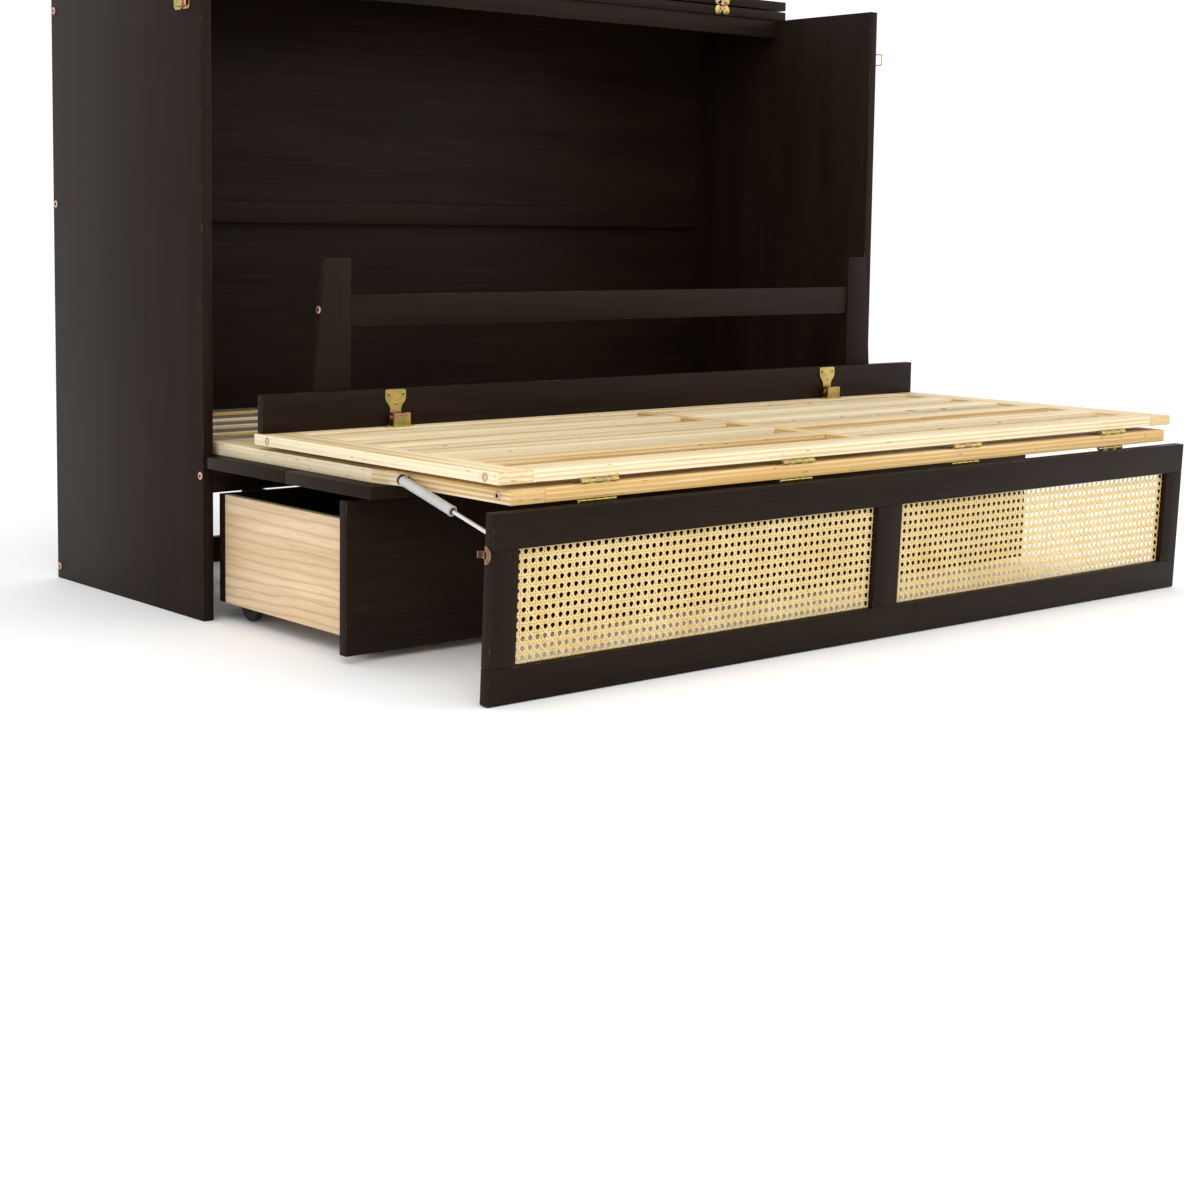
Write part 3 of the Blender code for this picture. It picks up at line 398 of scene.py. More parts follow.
def settle(obj, body, slot, replaced=(), lean=False, material=None, angle=35):
    if lean:
        obj.data.transform(leanTurn)
    applyPlace(obj)
    obj.data.materials.clear()
    obj.data.materials.append(material or looks[slot])
    onlyThis(obj)
    bpy.ops.object.shade_smooth_by_angle(angle=math.radians(angle))
    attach(obj, body)
    if replaced:
        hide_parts(*replaced)
    return obj


# a solid between two corners with eased edges
def makeBlock(low, high, ease=0.0008, segments=2):
    low, high = Vector(low), Vector(high)
    bpy.ops.object.select_all(action="DESELECT")
    bpy.ops.mesh.primitive_cube_add(size=1, location=(low + high) / 2)
    obj = bpy.context.object
    obj.scale = high - low
    applyPlace(obj)
    bevelEdges(obj, min(ease, min(high - low) / 3), segments)
    return obj


# one board: its grain runs along the given axis, and it keeps its own place and half sizes
def makeBoard(low, high, grain="X", ease=0.0010, lying=False):
    low, high = Vector(low), Vector(high)
    obj = makeBlock(low, high, ease)
    middle, half = (low + high) / 2, (high - low) / 2
    first = "XYZ".index(grain)
    others = sorted((axis for axis in range(3) if axis != first), key=lambda axis: -half[axis])
    if lying:  # a strip of a sheet that lies flat: its thickness is upright
        others.sort()
    order = [first, *others]
    co = np.empty(len(obj.data.vertices) * 3)
    obj.data.vertices.foreach_get("co", co)
    local = (co.reshape(-1, 3) - np.array(middle))[:, order]
    halves = np.tile(np.array(half)[order], (len(local), 1))
    shift = np.array([random.uniform(-40, 40) for number in range(3)])
    tint = np.tile([random.random() for number in range(3)], (len(local), 1))
    for name, values in (("place", local), ("half", halves), ("grain", local + shift), ("tint", tint)):
        layer = obj.data.attributes.new(name, "FLOAT_VECTOR", "POINT")
        layer.data.foreach_set("vector", values.astype(np.float32).ravel())
    return obj


def makeRod(start, end, radius, sides=24, ease=0.0):
    start, end = Vector(start), Vector(end)
    bpy.ops.object.select_all(action="DESELECT")
    bpy.ops.mesh.primitive_cylinder_add(
        vertices=sides, radius=radius, depth=(end - start).length, location=(start + end) / 2
    )
    obj = bpy.context.object
    obj.rotation_mode = "QUATERNION"
    obj.rotation_quaternion = (end - start).to_track_quat("Z", "Y")
    applyPlace(obj)
    if ease:
        bevelEdges(obj, ease, 2, 50)
    return obj


# a countersunk screw head that looks along a direction, with a socket pressed into it
def makeScrew(point, direction, radius=0.0034, height=0.0009):
    direction = Vector(direction).normalized()
    point = Vector(point)
    bpy.ops.object.select_all(action="DESELECT")
    bpy.ops.mesh.primitive_cylinder_add(vertices=16, radius=radius, depth=height)
    obj = bpy.context.object
    bpy.ops.object.mode_set(mode="EDIT")
    bpy.ops.mesh.select_all(action="DESELECT")
    work = bmesh.from_edit_mesh(obj.data)
    for face in work.faces:
        face.select = face.normal.z > 0.9
    bmesh.update_edit_mesh(obj.data)
    bpy.ops.mesh.inset(thickness=radius * 0.22, depth=radius * 0.10)
    bpy.ops.mesh.inset(thickness=radius * 0.34)
    bpy.ops.mesh.inset(thickness=0, depth=0)
    bpy.ops.transform.translate(value=(0, 0, -height * 0.5 - radius * 0.10))
    bpy.ops.object.mode_set(mode="OBJECT")
    # marks the socket's floor, which the screw materials darken as painted shade
    sunk = obj.data.attributes.new("socket", "FLOAT_VECTOR", "POINT")
    for vertex in obj.data.vertices:
        if math.hypot(vertex.co.x, vertex.co.y) < radius * 0.5 and abs(vertex.co.z) < height * 0.2:
            sunk.data[vertex.index].vector = (1, 1, 1)
    obj.rotation_mode = "QUATERNION"
    obj.rotation_quaternion = direction.to_track_quat("Z", "Y")
    obj.location = point + direction * height / 2
    applyPlace(obj)
    return obj


# a flat outline made thick along one direction, with eased edges
def makeSheet(outline, thick, ease=0.0003):
    outline = [Vector(point) for point in outline]
    thick = Vector(thick)
    count = len(outline)
    faces = [tuple(range(count - 1, -1, -1)), tuple(range(count, 2 * count))]
    faces += [(k, (k + 1) % count, (k + 1) % count + count, k + count) for k in range(count)]
    mesh = bpy.data.meshes.new("sheet")
    mesh.from_pydata([tuple(point) for point in outline + [point + thick for point in outline]], [], faces)
    obj = bpy.data.objects.new("sheet", mesh)
    bpy.context.scene.collection.objects.link(obj)
    onlyThis(obj)
    bpy.ops.object.mode_set(mode="EDIT")
    bpy.ops.mesh.select_all(action="SELECT")
    bpy.ops.mesh.normals_make_consistent(inside=False)
    bpy.ops.object.mode_set(mode="OBJECT")
    bevelEdges(obj, ease, 1, 50)
    return obj


# an outline of (u, v) pairs with each corner turned by its own radius
def roundCorners(corners, steps=5):
    points = []
    for number, (u, v, radius) in enumerate(corners):
        here = Vector((u, v))
        before = (Vector(corners[number - 1][:2]) - here).normalized()
        after = (Vector(corners[(number + 1) % len(corners)][:2]) - here).normalized()
        if not radius:
            points.append(here)
            continue
        for step in range(steps + 1):
            t = step / steps
            points.append(here + before * radius * (1 - t) ** 2 + after * radius * t ** 2)
    return points


# ---- dark boards ----
boardBodies = {
    "side_panel_left": ("cabinet", "Z"), "side_panel_right": ("cabinet", "Z"),
    "back_mid_rail": ("cabinet", "X"), "deck_front_rail": ("cabinet", "X"),
    "top_board": ("cabinet", "X"), "top_front_rail": ("cabinet", "X"),
    "back_panel": ("cabinet", "X"), "lid_board": ("lid", "X"),
    "plank_rear": ("middle_section", "X"), "plank_front": ("middle_section", "X"),
    "leg_board": ("legs", "X"), "leg_crossbar": ("legs", "X"),
    "drawer_face": ("drawer", "X"), "drawer_back": ("drawer", "X"),
}
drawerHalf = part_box("drawer_side_right")[1][0]
for node, (body, grain) in boardBodies.items():
    low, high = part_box(node)
    if node == "drawer_back":  # the back board closes the ends of both sides
        low, high = (-drawerHalf, *low[1:]), (drawerHalf, *high[1:])
    board = makeBoard(low, high, grain)
    settle(joinPieces("look_" + node, [board]), body, "espresso_wood", [node])
for side, sign in sides:
    low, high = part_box("drawer_side_" + side)
    high = (high[0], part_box("drawer_back")[0][1] - seatGap, high[2])
    board = makeBoard(low, high, "Y", 0.0006)
    settle(joinPieces("look_drawer_side_" + side, [board]), "drawer", "oak_laminate", ["drawer_side_" + side])
board = makeBoard(*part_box("drawer_floor"), "X", 0.0005)
settle(joinPieces("look_drawer_floor", [board]), "drawer", "oak_laminate", ["drawer_floor"])

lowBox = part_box("back_low_frame")
lowFrame = {"railTop": 0.044, "stileX": 0.334, "stileWidth": 0.042, "seam": 0.0003}
made = [makeBoard(lowBox[0], (lowBox[1][0], lowBox[1][1], lowFrame["railTop"]), "X")]
stileFoot = lowFrame["railTop"] + lowFrame["seam"]
for side, sign in sides:
    near, far = sorted((sign * lowFrame["stileX"], sign * (lowFrame["stileX"] + lowFrame["stileWidth"])))
    made.append(makeBoard((near, lowBox[0][1], stileFoot), (far, *lowBox[1][1:]), "Z"))
settle(joinPieces("look_back_low_frame", made), "cabinet", "espresso_wood", ["back_low_frame"])


# a leg narrows towards its free end on the outer side only
def makeLeg(side, sign):
    low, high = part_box("foot_leg_" + side)
    board = makeBoard(low, high, "Z")
    taper = {"inner": 0.5432, "root": 0.066, "tip": 0.0465}
    for vertex in board.data.vertices:
        t = (vertex.co.z - low[2]) / (high[2] - low[2])
        reach = abs(vertex.co.x) - taper["inner"]
        width = taper["root"] + (taper["tip"] - taper["root"]) * t
        vertex.co.x = sign * (taper["inner"] + reach * width / taper["root"])
    settle(joinPieces("look_foot_leg_" + side, [board]), "legs", "espresso_wood", ["foot_leg_" + side])


for side, sign in sides:
    makeLeg(side, sign)
print("stage: dark boards done")


# ---- slatted sections: rails and slats laid edge to edge ----
deckPieces = {
    # the head deck takes the darker pine copy: painted shade
    "head_deck": {"body": "cabinet", "slats": 3, "sideRail": 0.055, "finish": shadedPine},
    "middle_deck": {
        "body": "middle_section", "slats": 5, "sideRail": 0.055,
        "cheek": {"width": 0.010, "length": 0.4600, "cut": 0.048},
    },
    "foot_deck": {"body": "foot_section", "slats": 4, "sideRail": 0.055},
}
deckSizes = {"endRail": 0.050, "slat": 0.050, "centreRail": 0.026, "seam": 0.00025, "ease": 0.0007}


def makeDeck(node, spec):
    (x0, y0, z0), (x1, y1, z1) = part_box(node)
    size, seam = deckSizes, deckSizes["seam"]
    made = []
    for near, far in ((x0, x0 + spec["sideRail"]), (x1 - spec["sideRail"], x1)):
        made.append(makeBoard((near, y0, z0), (far, y1, z1), "Y", size["ease"]))
    inner0, inner1 = x0 + spec["sideRail"] + seam, x1 - spec["sideRail"] - seam
    for near, far in ((y0, y0 + size["endRail"]), (y1 - size["endRail"], y1)):
        made.append(makeBoard((inner0, near, z0), (inner1, far, z1), "X", size["ease"]))
    gap = (y1 - y0 - 2 * size["endRail"] - spec["slats"] * size["slat"]) / (spec["slats"] + 1)
    half = size["centreRail"] / 2
    railStart, railEnd = y0 + size["endRail"] + seam, y1 - size["endRail"] - seam
    made.append(makeBoard((-half, railStart, z0), (half, railEnd, z1), "Y", size["ease"]))
    for number in range(spec["slats"]):
        near = y0 + size["endRail"] + gap + number * (gap + size["slat"])
        for left, right in ((inner0, -half - seam), (half + seam, inner1)):
            board = makeBoard((left, near, z0), (right, near + size["slat"], z1), "X", size["ease"])
            made.append(board)
    cheek = spec.get("cheek")
    for sign in (-1, 1) if cheek else ():
        near, far = sorted((sign * (x1 + seam), sign * (x1 + cheek["width"])))
        start = y1 - cheek["length"]
        board = makeBoard((near, start, z0), (far, y1, z1), "Y", size["ease"], lying=True)
        for vertex in board.data.vertices:  # its front end is cut back to clear the strut
            if vertex.co.y < (y0 + y1) / 2:
                vertex.co.y += (abs(vertex.co.x) - x1) / cheek["width"] * cheek["cut"]
        made.append(board)
    settle(joinPieces("look_" + node, made), spec["body"], "pine", [node], material=spec.get("finish"))


for node, spec in deckPieces.items():
    makeDeck(node, spec)
print("stage: slatted sections done")


# ---- panel frame and woven cane, built upright and then leaned ----
panelSizes = {
    "half": 0.73, "rear": frontY - 0.680, "thickness": 0.0165, "top": panelAxis.z - 0.0024, "height": 0.2415,
    "rail": 0.0465, "stile": 0.042, "muntin": 0.0526, "seam": 0.0002, "caneInset": 0.0095,
}


def makePanelFrame():
    size = panelSizes
    front, rear = size["rear"] - size["thickness"], size["rear"]
    bottom = size["top"] - size["height"]
    made = []
    for low, high in ((bottom, bottom + size["rail"]), (size["top"] - size["rail"], size["top"])):
        made.append(makeBoard((-size["half"], front, low), (size["half"], rear, high), "X"))
    low, high = bottom + size["rail"] + size["seam"], size["top"] - size["rail"] - size["seam"]
    spans = (
        (-size["half"], size["stile"] - size["half"]),
        (-size["muntin"] / 2, size["muntin"] / 2),
        (size["half"] - size["stile"], size["half"]),
    )
    for left, right in spans:
        made.append(makeBoard((left, front, low), (right, rear, high), "Z"))
    settle(joinPieces("look_panel_frame", made), "panel", "espresso_wood", ["panel_frame"], lean=True)


makePanelFrame()

caneSizes = {"columns": 55, "rows": 12, "strand": 0.0023, "pair": 0.0016, "thick": 0.00035, "lift": 0.00045}


# ribbons as long thin strips; each is a list of centre points with one width direction
def caneStrips(left, right, low, high, depth):
    size = caneSizes
    stepX, stepZ = (right - left) / size["columns"], (high - low) / size["rows"]
    strips = []
    for column in range(size["columns"] + 1):
        for twin in (-1, 1):
            x = left + column * stepX + twin * size["pair"]
            if left < x < right:
                points = []
                for row in range(size["rows"] * 2 + 1):
                    wave = size["lift"] * (1 if (row + column + (twin > 0)) % 2 else -1)
                    points.append((x, depth + wave, low + row * stepZ / 2))
                strips.append((points, (1, 0, 0)))
    for row in range(size["rows"] + 1):
        for twin in (-1, 1):
            z = low + row * stepZ + twin * size["pair"]
            if low < z < high:
                points = []
                for column in range(size["columns"] * 2 + 1):
                    wave = size["lift"] * (-1 if (row + column + (twin > 0)) % 2 else 1)
                    points.append((left + column * stepX / 2, depth + wave, z))
                strips.append((points, (0, 0, 1)))
    slope = stepZ / stepX
    for direction in (-1, 1):
        for start in range(-size["rows"], size["columns"] + size["rows"]):
            points = []
            for number in range(size["rows"] + 1):
                column = start + 0.5 + direction * (number - size["rows"] / 2)
                x, z = left + column * stepX, low + number * stepZ
                if left <= x <= right:
                    points.append((x, depth + direction * size["thick"] * 1.6, z))
            if len(points) > 1:
                across = Vector((-slope * direction, 0, 1)).normalized()
                strips.append((points, tuple(across)))
    return strips


def makeCane(side, sign):
    size = panelSizes
    near, far = size["muntin"] / 2, size["half"] - size["stile"]
    left, right = sorted((sign * near, sign * far))
    low = size["top"] - size["height"] + size["rail"]
    high = size["top"] - size["rail"]
    depth = size["rear"] - size["thickness"] + size["caneInset"]
    vertices, faces, tones = [], [], []
    for points, across in caneStrips(left, right, low, high, depth):
        half = Vector(across) * caneSizes["strand"] / 2
        out = Vector((0, caneSizes["thick"], 0))
        base = len(vertices)
        tone = random.random()
        for point in points:
            centre = Vector(point)
            front = centre - out
            rear = centre + out * 0.6
            section = (centre - half, front - half * 0.55, front + half * 0.55, centre + half, rear)
            vertices += section
            tones += [tone] * len(section)
        ring = len(section)
        for number in range(len(points) - 1):
            a, b = base + number * ring, base + (number + 1) * ring
            for k in range(ring):
                faces.append((a + k, a + (k + 1) % ring, b + (k + 1) % ring, b + k))
        faces.append(tuple(range(base + ring - 1, base - 1, -1)))
        last = base + (len(points) - 1) * ring
        faces.append(tuple(range(last, last + ring)))
    mesh = bpy.data.meshes.new("look_cane_" + side)
    mesh.from_pydata([tuple(vertex) for vertex in vertices], [], faces)
    obj = bpy.data.objects.new("look_cane_" + side, mesh)
    bpy.context.scene.collection.objects.link(obj)
    layer = mesh.attributes.new("strand", "FLOAT_VECTOR", "POINT")
    layer.data.foreach_set("vector", np.repeat(np.array(tones, np.float32), 3))
    onlyThis(obj)
    bpy.ops.object.mode_set(mode="EDIT")
    bpy.ops.mesh.select_all(action="SELECT")
    bpy.ops.mesh.normals_make_consistent(inside=False)
    bpy.ops.object.mode_set(mode="OBJECT")
    settle(obj, "panel", "cane", ["cane_" + side], lean=True, angle=60)


for side, sign in sides:
    makeCane(side, sign)
print("stage: panel done")


# ---- hinges: two leaves, five knuckles, screws ----
hingeSizes = {
    "width": 0.0635, "knuckle": 0.0026, "leaf": 0.0012, "reach": 0.026, "gap": 0.0004, "screw": 0.015,
}
movingKnuckles, fixedKnuckles = (0, 2, 4), (1, 3)


def makeKnuckles(centre, y, z, radius, width, numbers, count=5):
    step, gap = width / count, hingeSizes["gap"]
    starts = [centre - width / 2 + number * step for number in numbers]
    return [makeRod((x + gap / 2, y, z), (x + step - gap / 2, y, z), radius, 16, 0.0003) for x in starts]


# small plates that join a leaf to its own knuckles, past the others
def makeTabs(centre, width, low, high, numbers, count=5):
    step, gap = width / count, hingeSizes["gap"]
    starts = [centre - width / 2 + number * step for number in numbers]
    return [makeBlock((x + gap / 2, *low), (x + step - gap / 2, *high), 0.0002, 1) for x in starts]


# leaf corners are (y, z) pairs; an upright leaf has its barrel on top, a lying one in front
def makeLeaf(centre, width, low, high, outward, screwRows, numbers):
    half, clear = width / 2, hingeSizes["knuckle"] + hingeSizes["gap"]
    (y0, z0), (y1, z1) = low, high
    if z1 - z0 > y1 - y0:
        plate, tab = ((y0, z0), (y1, z1 - clear)), ((y0, z1 - clear - 0.0004), (y1, z1))
    else:
        plate, tab = ((y0 + clear, z0), (y1, z1)), ((y0, z0), (y0 + clear + 0.0004, z1))
    made = [makeBlock((centre - half, *plate[0]), (centre + half, *plate[1]), 0.0003, 1)]
    made += makeTabs(centre, width, *tab, numbers)
    for x in (-0.72, 0, 0.72):
        for y, z in screwRows:
            made.append(makeScrew((centre + x * half, y, z), outward, 0.0030, 0.0003))
    return made


def hingeCentres(prefix):
    for number in range(1, 5):
        node = "%s_%d" % (prefix, number)
        low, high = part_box(node)
        yield node, (low[0] + high[0]) / 2


def makeBarrel(centre, axis, numbers):
    return makeKnuckles(centre, *axis, hingeSizes["knuckle"], hingeSizes["width"], numbers)


def makeFootHinges():
    axis = jointPlace["foot_turn"].yz
    width, thick, reach = hingeSizes["width"], hingeSizes["leaf"], axis[0] + hingeSizes["reach"]
    screwY = axis[0] + hingeSizes["screw"]
    for node, centre in hingeCentres("foot_hinge"):
        top = footBottom - seatGap
        made = makeLeaf(centre, width, (axis[0], top - thick), (reach, top), (0, 0, -1),
                        [(screwY, top - thick)], movingKnuckles)
        made += makeBarrel(centre, axis, movingKnuckles)
        settle(joinPieces("look_" + node, made), "foot_section", "zinc_steel", [node])
        low = deckTop + seatGap
        made = makeLeaf(centre, width, (axis[0], low), (reach, low + thick), (0, 0, 1),
                        [(screwY, low + thick)], fixedKnuckles)
        made += makeBarrel(centre, axis, fixedKnuckles)
        settle(joinPieces("fixed_" + node, made), "middle_section", "zinc_steel")


def makePanelHinges():
    axis = panelAxis.yz
    width, thick = hingeSizes["width"], hingeSizes["leaf"]
    front, top = panelSizes["rear"] + seatGap, deckBottom - seatGap
    for node, centre in hingeCentres("panel_hinge"):
        low, high = (front, axis[1] - hingeSizes["reach"]), (front + thick, axis[1])
        screws = [(front + thick, axis[1] - hingeSizes["screw"])]
        made = makeLeaf(centre, width, low, high, (0, 1, 0), screws, movingKnuckles)
        made += makeBarrel(centre, axis, movingKnuckles)
        settle(joinPieces("look_" + node, made), "panel", "zinc_steel", [node], lean=True)
        low, high = (axis[0], top - thick), (axis[0] + hingeSizes["reach"], top)
        screws = [(axis[0] + hingeSizes["screw"], top - thick)]
        made = makeLeaf(centre, width, low, high, (0, 0, -1), screws, fixedKnuckles)
        made += makeBarrel(centre, axis, fixedKnuckles)
        settle(joinPieces("fixed_" + node, made), "middle_section", "zinc_steel")


# the leaves stand back to back in the seam between the head and middle decks
def makeDeckHinges():
    axis = jointPlace["middle_turn"].yz
    size = {"x": 0.366, "front": frontY + 0.0158, "rear": frontY + 0.0212, "rise": 0.0012, "screwDrop": 0.010}
    low, screwZ = deckBottom + size["rise"], deckTop - size["screwDrop"]
    width, thick = hingeSizes["width"], hingeSizes["leaf"]
    for side, sign in sides:
        node, centre = "deck_hinge_" + side, sign * size["x"]
        face = size["front"] + thick
        made = makeLeaf(centre, width, (size["front"], low), (face, axis[1]), (0, 1, 0),
                        [(face, screwZ)], movingKnuckles)
        made += makeBarrel(centre, axis, movingKnuckles)
        settle(joinPieces("look_" + node, made), "middle_section", "zinc_steel", [node])
        face = size["rear"] - thick
        made = makeLeaf(centre, width, (face, low), (size["rear"], axis[1]), (0, -1, 0),
                        [(face, screwZ)], fixedKnuckles)
        made += makeBarrel(centre, axis, fixedKnuckles)
        settle(joinPieces("fixed_" + node, made), "cabinet", "zinc_steel")


# the lid's hinges have a round lobe on each board and a short knuckle between
def makeLidHinges():
    axisY, axisZ = jointPlace["lid_turn"].yz
    size = {
        "x": 0.557, "depth": 0.242, "half": 0.020, "lobe": 0.0155, "thick": 0.0012, "barrel": 0.0019,
        "barrelWidth": 0.009,
    }
    rear = frontY + size["depth"] - seatGap
    front = rear - size["thick"]
    for side, sign in sides:
        centre = sign * size["x"]
        for name, body, up, nodes, knuckles in (
            ("look_lid_hinge_", "lid", 1, ["lid_hinge_" + side], (0, 2)),
            ("fixed_lid_hinge_", "cabinet", -1, [], (1,)),
        ):
            made = []
            for lobe in (-1, 1):
                x = centre + lobe * size["half"] * 0.52
                z = axisZ + up * (size["lobe"] * 0.5 + size["thick"])
                made.append(makeRod((x, front, z), (x, rear, z), size["half"] * 0.44, 24, 0.0003))
                made.append(makeScrew((x, front + 0.0006, z), (0, -1, 0), 0.0034, 0.0006))
            low, high = sorted((axisZ, axisZ + up * (size["barrel"] + 2 * hingeSizes["gap"])))
            made += makeTabs(centre, size["barrelWidth"], (front, low), (rear, high), knuckles, 3)
            near, far = axisZ + up * (size["barrel"] + hingeSizes["gap"]), axisZ + up * size["lobe"] * 0.6
            low, high = sorted((near, far))
            made.append(makeBlock((centre - size["half"] * 0.55, front, low),
                                  (centre + size["half"] * 0.55, rear, high), 0.0003, 1))
            made += makeKnuckles(centre, axisY, axisZ, size["barrel"], size["barrelWidth"], knuckles, 3)
            settle(joinPieces(name + side, made), body, "zinc_steel", nodes)


makeFootHinges()
makePanelHinges()
makeDeckHinges()
makeLidHinges()
print("stage: hinges done")


# ---- folding brackets between the foot section and its legs ----
bracketSizes = {
    "x": 0.474, "metal": 0.0016, "half": 0.015, "front": 0.010, "rear": 0.007, "height": 0.0205,
    "sweep": 0.0073, "pin": 0.0022, "flange": 0.024, "plateHalf": 0.019, "plateTop": 0.055,
    "neck": 0.010, "neckTop": 0.015, "shoulder": 0.016,
}


def makeBracketBase(side, centre, axis):
    size = bracketSizes
    metal, half = size["metal"], size["half"]
    front, rear, floor = axis.y - size["front"], axis.y + size["rear"], footTop + seatGap
    flange = roundCorners([
        (centre - size["flange"], front + 0.002, 0.004), (centre + size["flange"], front + 0.002, 0.004),
        (centre + size["flange"], rear, 0.004), (centre - size["flange"], rear, 0.004),
    ])
    made = [makeSheet([(u, v, floor) for u, v in flange], (0, 0, metal * 0.8))]
    wall = roundCorners([
        (centre - half, floor, 0), (centre + half, floor, 0),
        (centre + half, floor + size["height"], 0.0012), (centre - half, floor + size["height"], 0.0012),
    ])
    made.append(makeSheet([(u, front, v) for u, v in wall], (0, metal, 0)))
    arc = [
        (axis.y + size["sweep"] * math.sin(turn), axis.z + size["sweep"] * math.cos(turn))
        for turn in (math.radians(15 * number) for number in range(1, 6))
    ]
    cheek = [(front + metal, floor), (front + metal, floor + size["height"]),
             (axis.y, floor + size["height"]), *arc, (rear, axis.z), (rear, floor)]
    for x in (centre - half, centre + half - metal):
        made.append(makeSheet([(x, u, v) for u, v in cheek], (metal, 0, 0)))
    for edge in (-1, 1):
        spot = (centre + edge * (half + 0.0048), axis.y - 0.001, floor + metal * 0.8)
        made.append(makeScrew(spot, (0, 0, 1), 0.0034, 0.0006))
    node = "bracket_base_" + side
    settle(joinPieces("look_" + node, made), "foot_section", "zinc_steel", [node])


def makeBracketPlate(side, centre, axis):
    size = bracketSizes
    metal, half, neck = size["metal"], size["plateHalf"], size["neck"]
    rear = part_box("leg_board")[0][1] - seatGap
    top, low = footTop + seatGap + size["plateTop"], axis.z - size["pin"] - metal
    neckTop, shoulder = axis.z + size["neckTop"], top - size["shoulder"]
    plate = roundCorners([
        (centre - neck, low, 0.001), (centre + neck, low, 0.001), (centre + neck, neckTop, 0.006),
        (centre + half, shoulder, 0.004), (centre + half, top, 0.004),
        (centre - half, top, 0.004), (centre - half, shoulder, 0.004), (centre - neck, neckTop, 0.006),
    ])
    made = [makeSheet([(u, rear - metal, v) for u, v in plate], (0, metal, 0))]
    earX = centre - size["half"] + metal + 2 * seatGap
    reach = size["pin"] + metal
    ear = [(rear, axis.z - reach), *(
        (axis.y - reach * math.sin(turn), axis.z - reach * math.cos(turn))
        for turn in (math.radians(22.5 * number) for number in range(9))
    ), (rear, axis.z + reach)]
    made.append(makeSheet([(earX, u, v) for u, v in ear], (2 * metal, 0, 0)))
    pinHalf, front = size["half"] + metal, rear - metal
    made.append(makeRod((centre - pinHalf, *axis.yz), (centre + pinHalf, *axis.yz), size["pin"], 24, 0.0003))
    for edge in (-1, 1):
        tip = centre + edge * pinHalf
        low, high = (tip - edge * metal * 0.7, *axis.yz), (tip + edge * metal * 0.5, *axis.yz)
        made.append(makeRod(low, high, 0.0036, 20, 0.0005))
        spot = (centre + edge * (half - 0.006), front, top - 0.007)
        made.append(makeScrew(spot, (0, -1, 0), 0.0030, 0.0005))
    made.append(makeScrew((centre, front, axis.z + 0.020), (0, -1, 0), 0.0024, 0.0005))
    node = "bracket_plate_" + side
    settle(joinPieces("look_" + node, made), "legs", "zinc_steel", [node])


for side, sign in sides:
    makeBracketBase(side, sign * bracketSizes["x"], jointPlace["leg_turn"])
    makeBracketPlate(side, sign * bracketSizes["x"], jointPlace["leg_turn"])


# ---- hooks on the panel's ends ----
hookSizes = {
    "drop": 0.055, "radius": 0.012, "depth": 0.0125, "metal": 0.0015, "arm": 0.0045, "reach": 0.0085,
    "root": 0.004, "lip": 0.005,
}


def makeHook(side, sign):
    size, metal = hookSizes, hookSizes["metal"]
    middleY = panelSizes["rear"] - panelSizes["thickness"] / 2
    middleZ = panelAxis.z - size["drop"]
    inner = sign * (panelSizes["half"] + seatGap)
    rearY = middleY + size["depth"] / 2
    lobe = [
        (rearY - size["depth"] * math.sin(turn), middleZ - size["radius"] * math.cos(turn))
        for turn in (math.radians(15 * number) for number in range(13))
    ]
    made = [makeSheet([(inner, u, v) for u, v in lobe], (sign * metal, 0, 0), 0.0005)]
    tip, low, high = rearY + size["reach"], middleZ - size["arm"], middleZ + size["arm"]
    near, far = sorted((inner, inner + sign * metal))
    made.append(makeBlock((near, rearY - size["root"], low), (far, tip, high), 0.0004))
    near, far = sorted((inner, inner + sign * (metal + size["lip"])))
    made.append(makeBlock((near, tip - metal, low), (far, tip, high), 0.0005))
    for edge in (-1, 1):
        spot = (inner + sign * metal, middleY, middleZ + edge * 0.0072)
        made.append(makeScrew(spot, (sign, 0, 0), 0.0024, 0.0006))
    node = "hook_plate_" + side
    settle(joinPieces("look_" + node, made), "panel", "zinc_steel", [node], lean=True, material=bronze)


for side, sign in sides:
    makeHook(side, sign)


# ---- latches: a screwed plate with two ears, and a lever that turns between them ----
latchSizes = {
    "front": 0.030, "rear": 0.072, "half": 0.011, "metal": 0.0015, "earFront": 0.058, "earRear": 0.070,
    "earZ": 0.0068, "earMetal": 0.0016, "eye": 0.0028, "pin": 0.0011, "pinHalf": 0.0078,
    "sleeve": 0.0024, "leverHalf": 0.0064, "bladeHalf": 0.0058, "blade": 0.030,
}


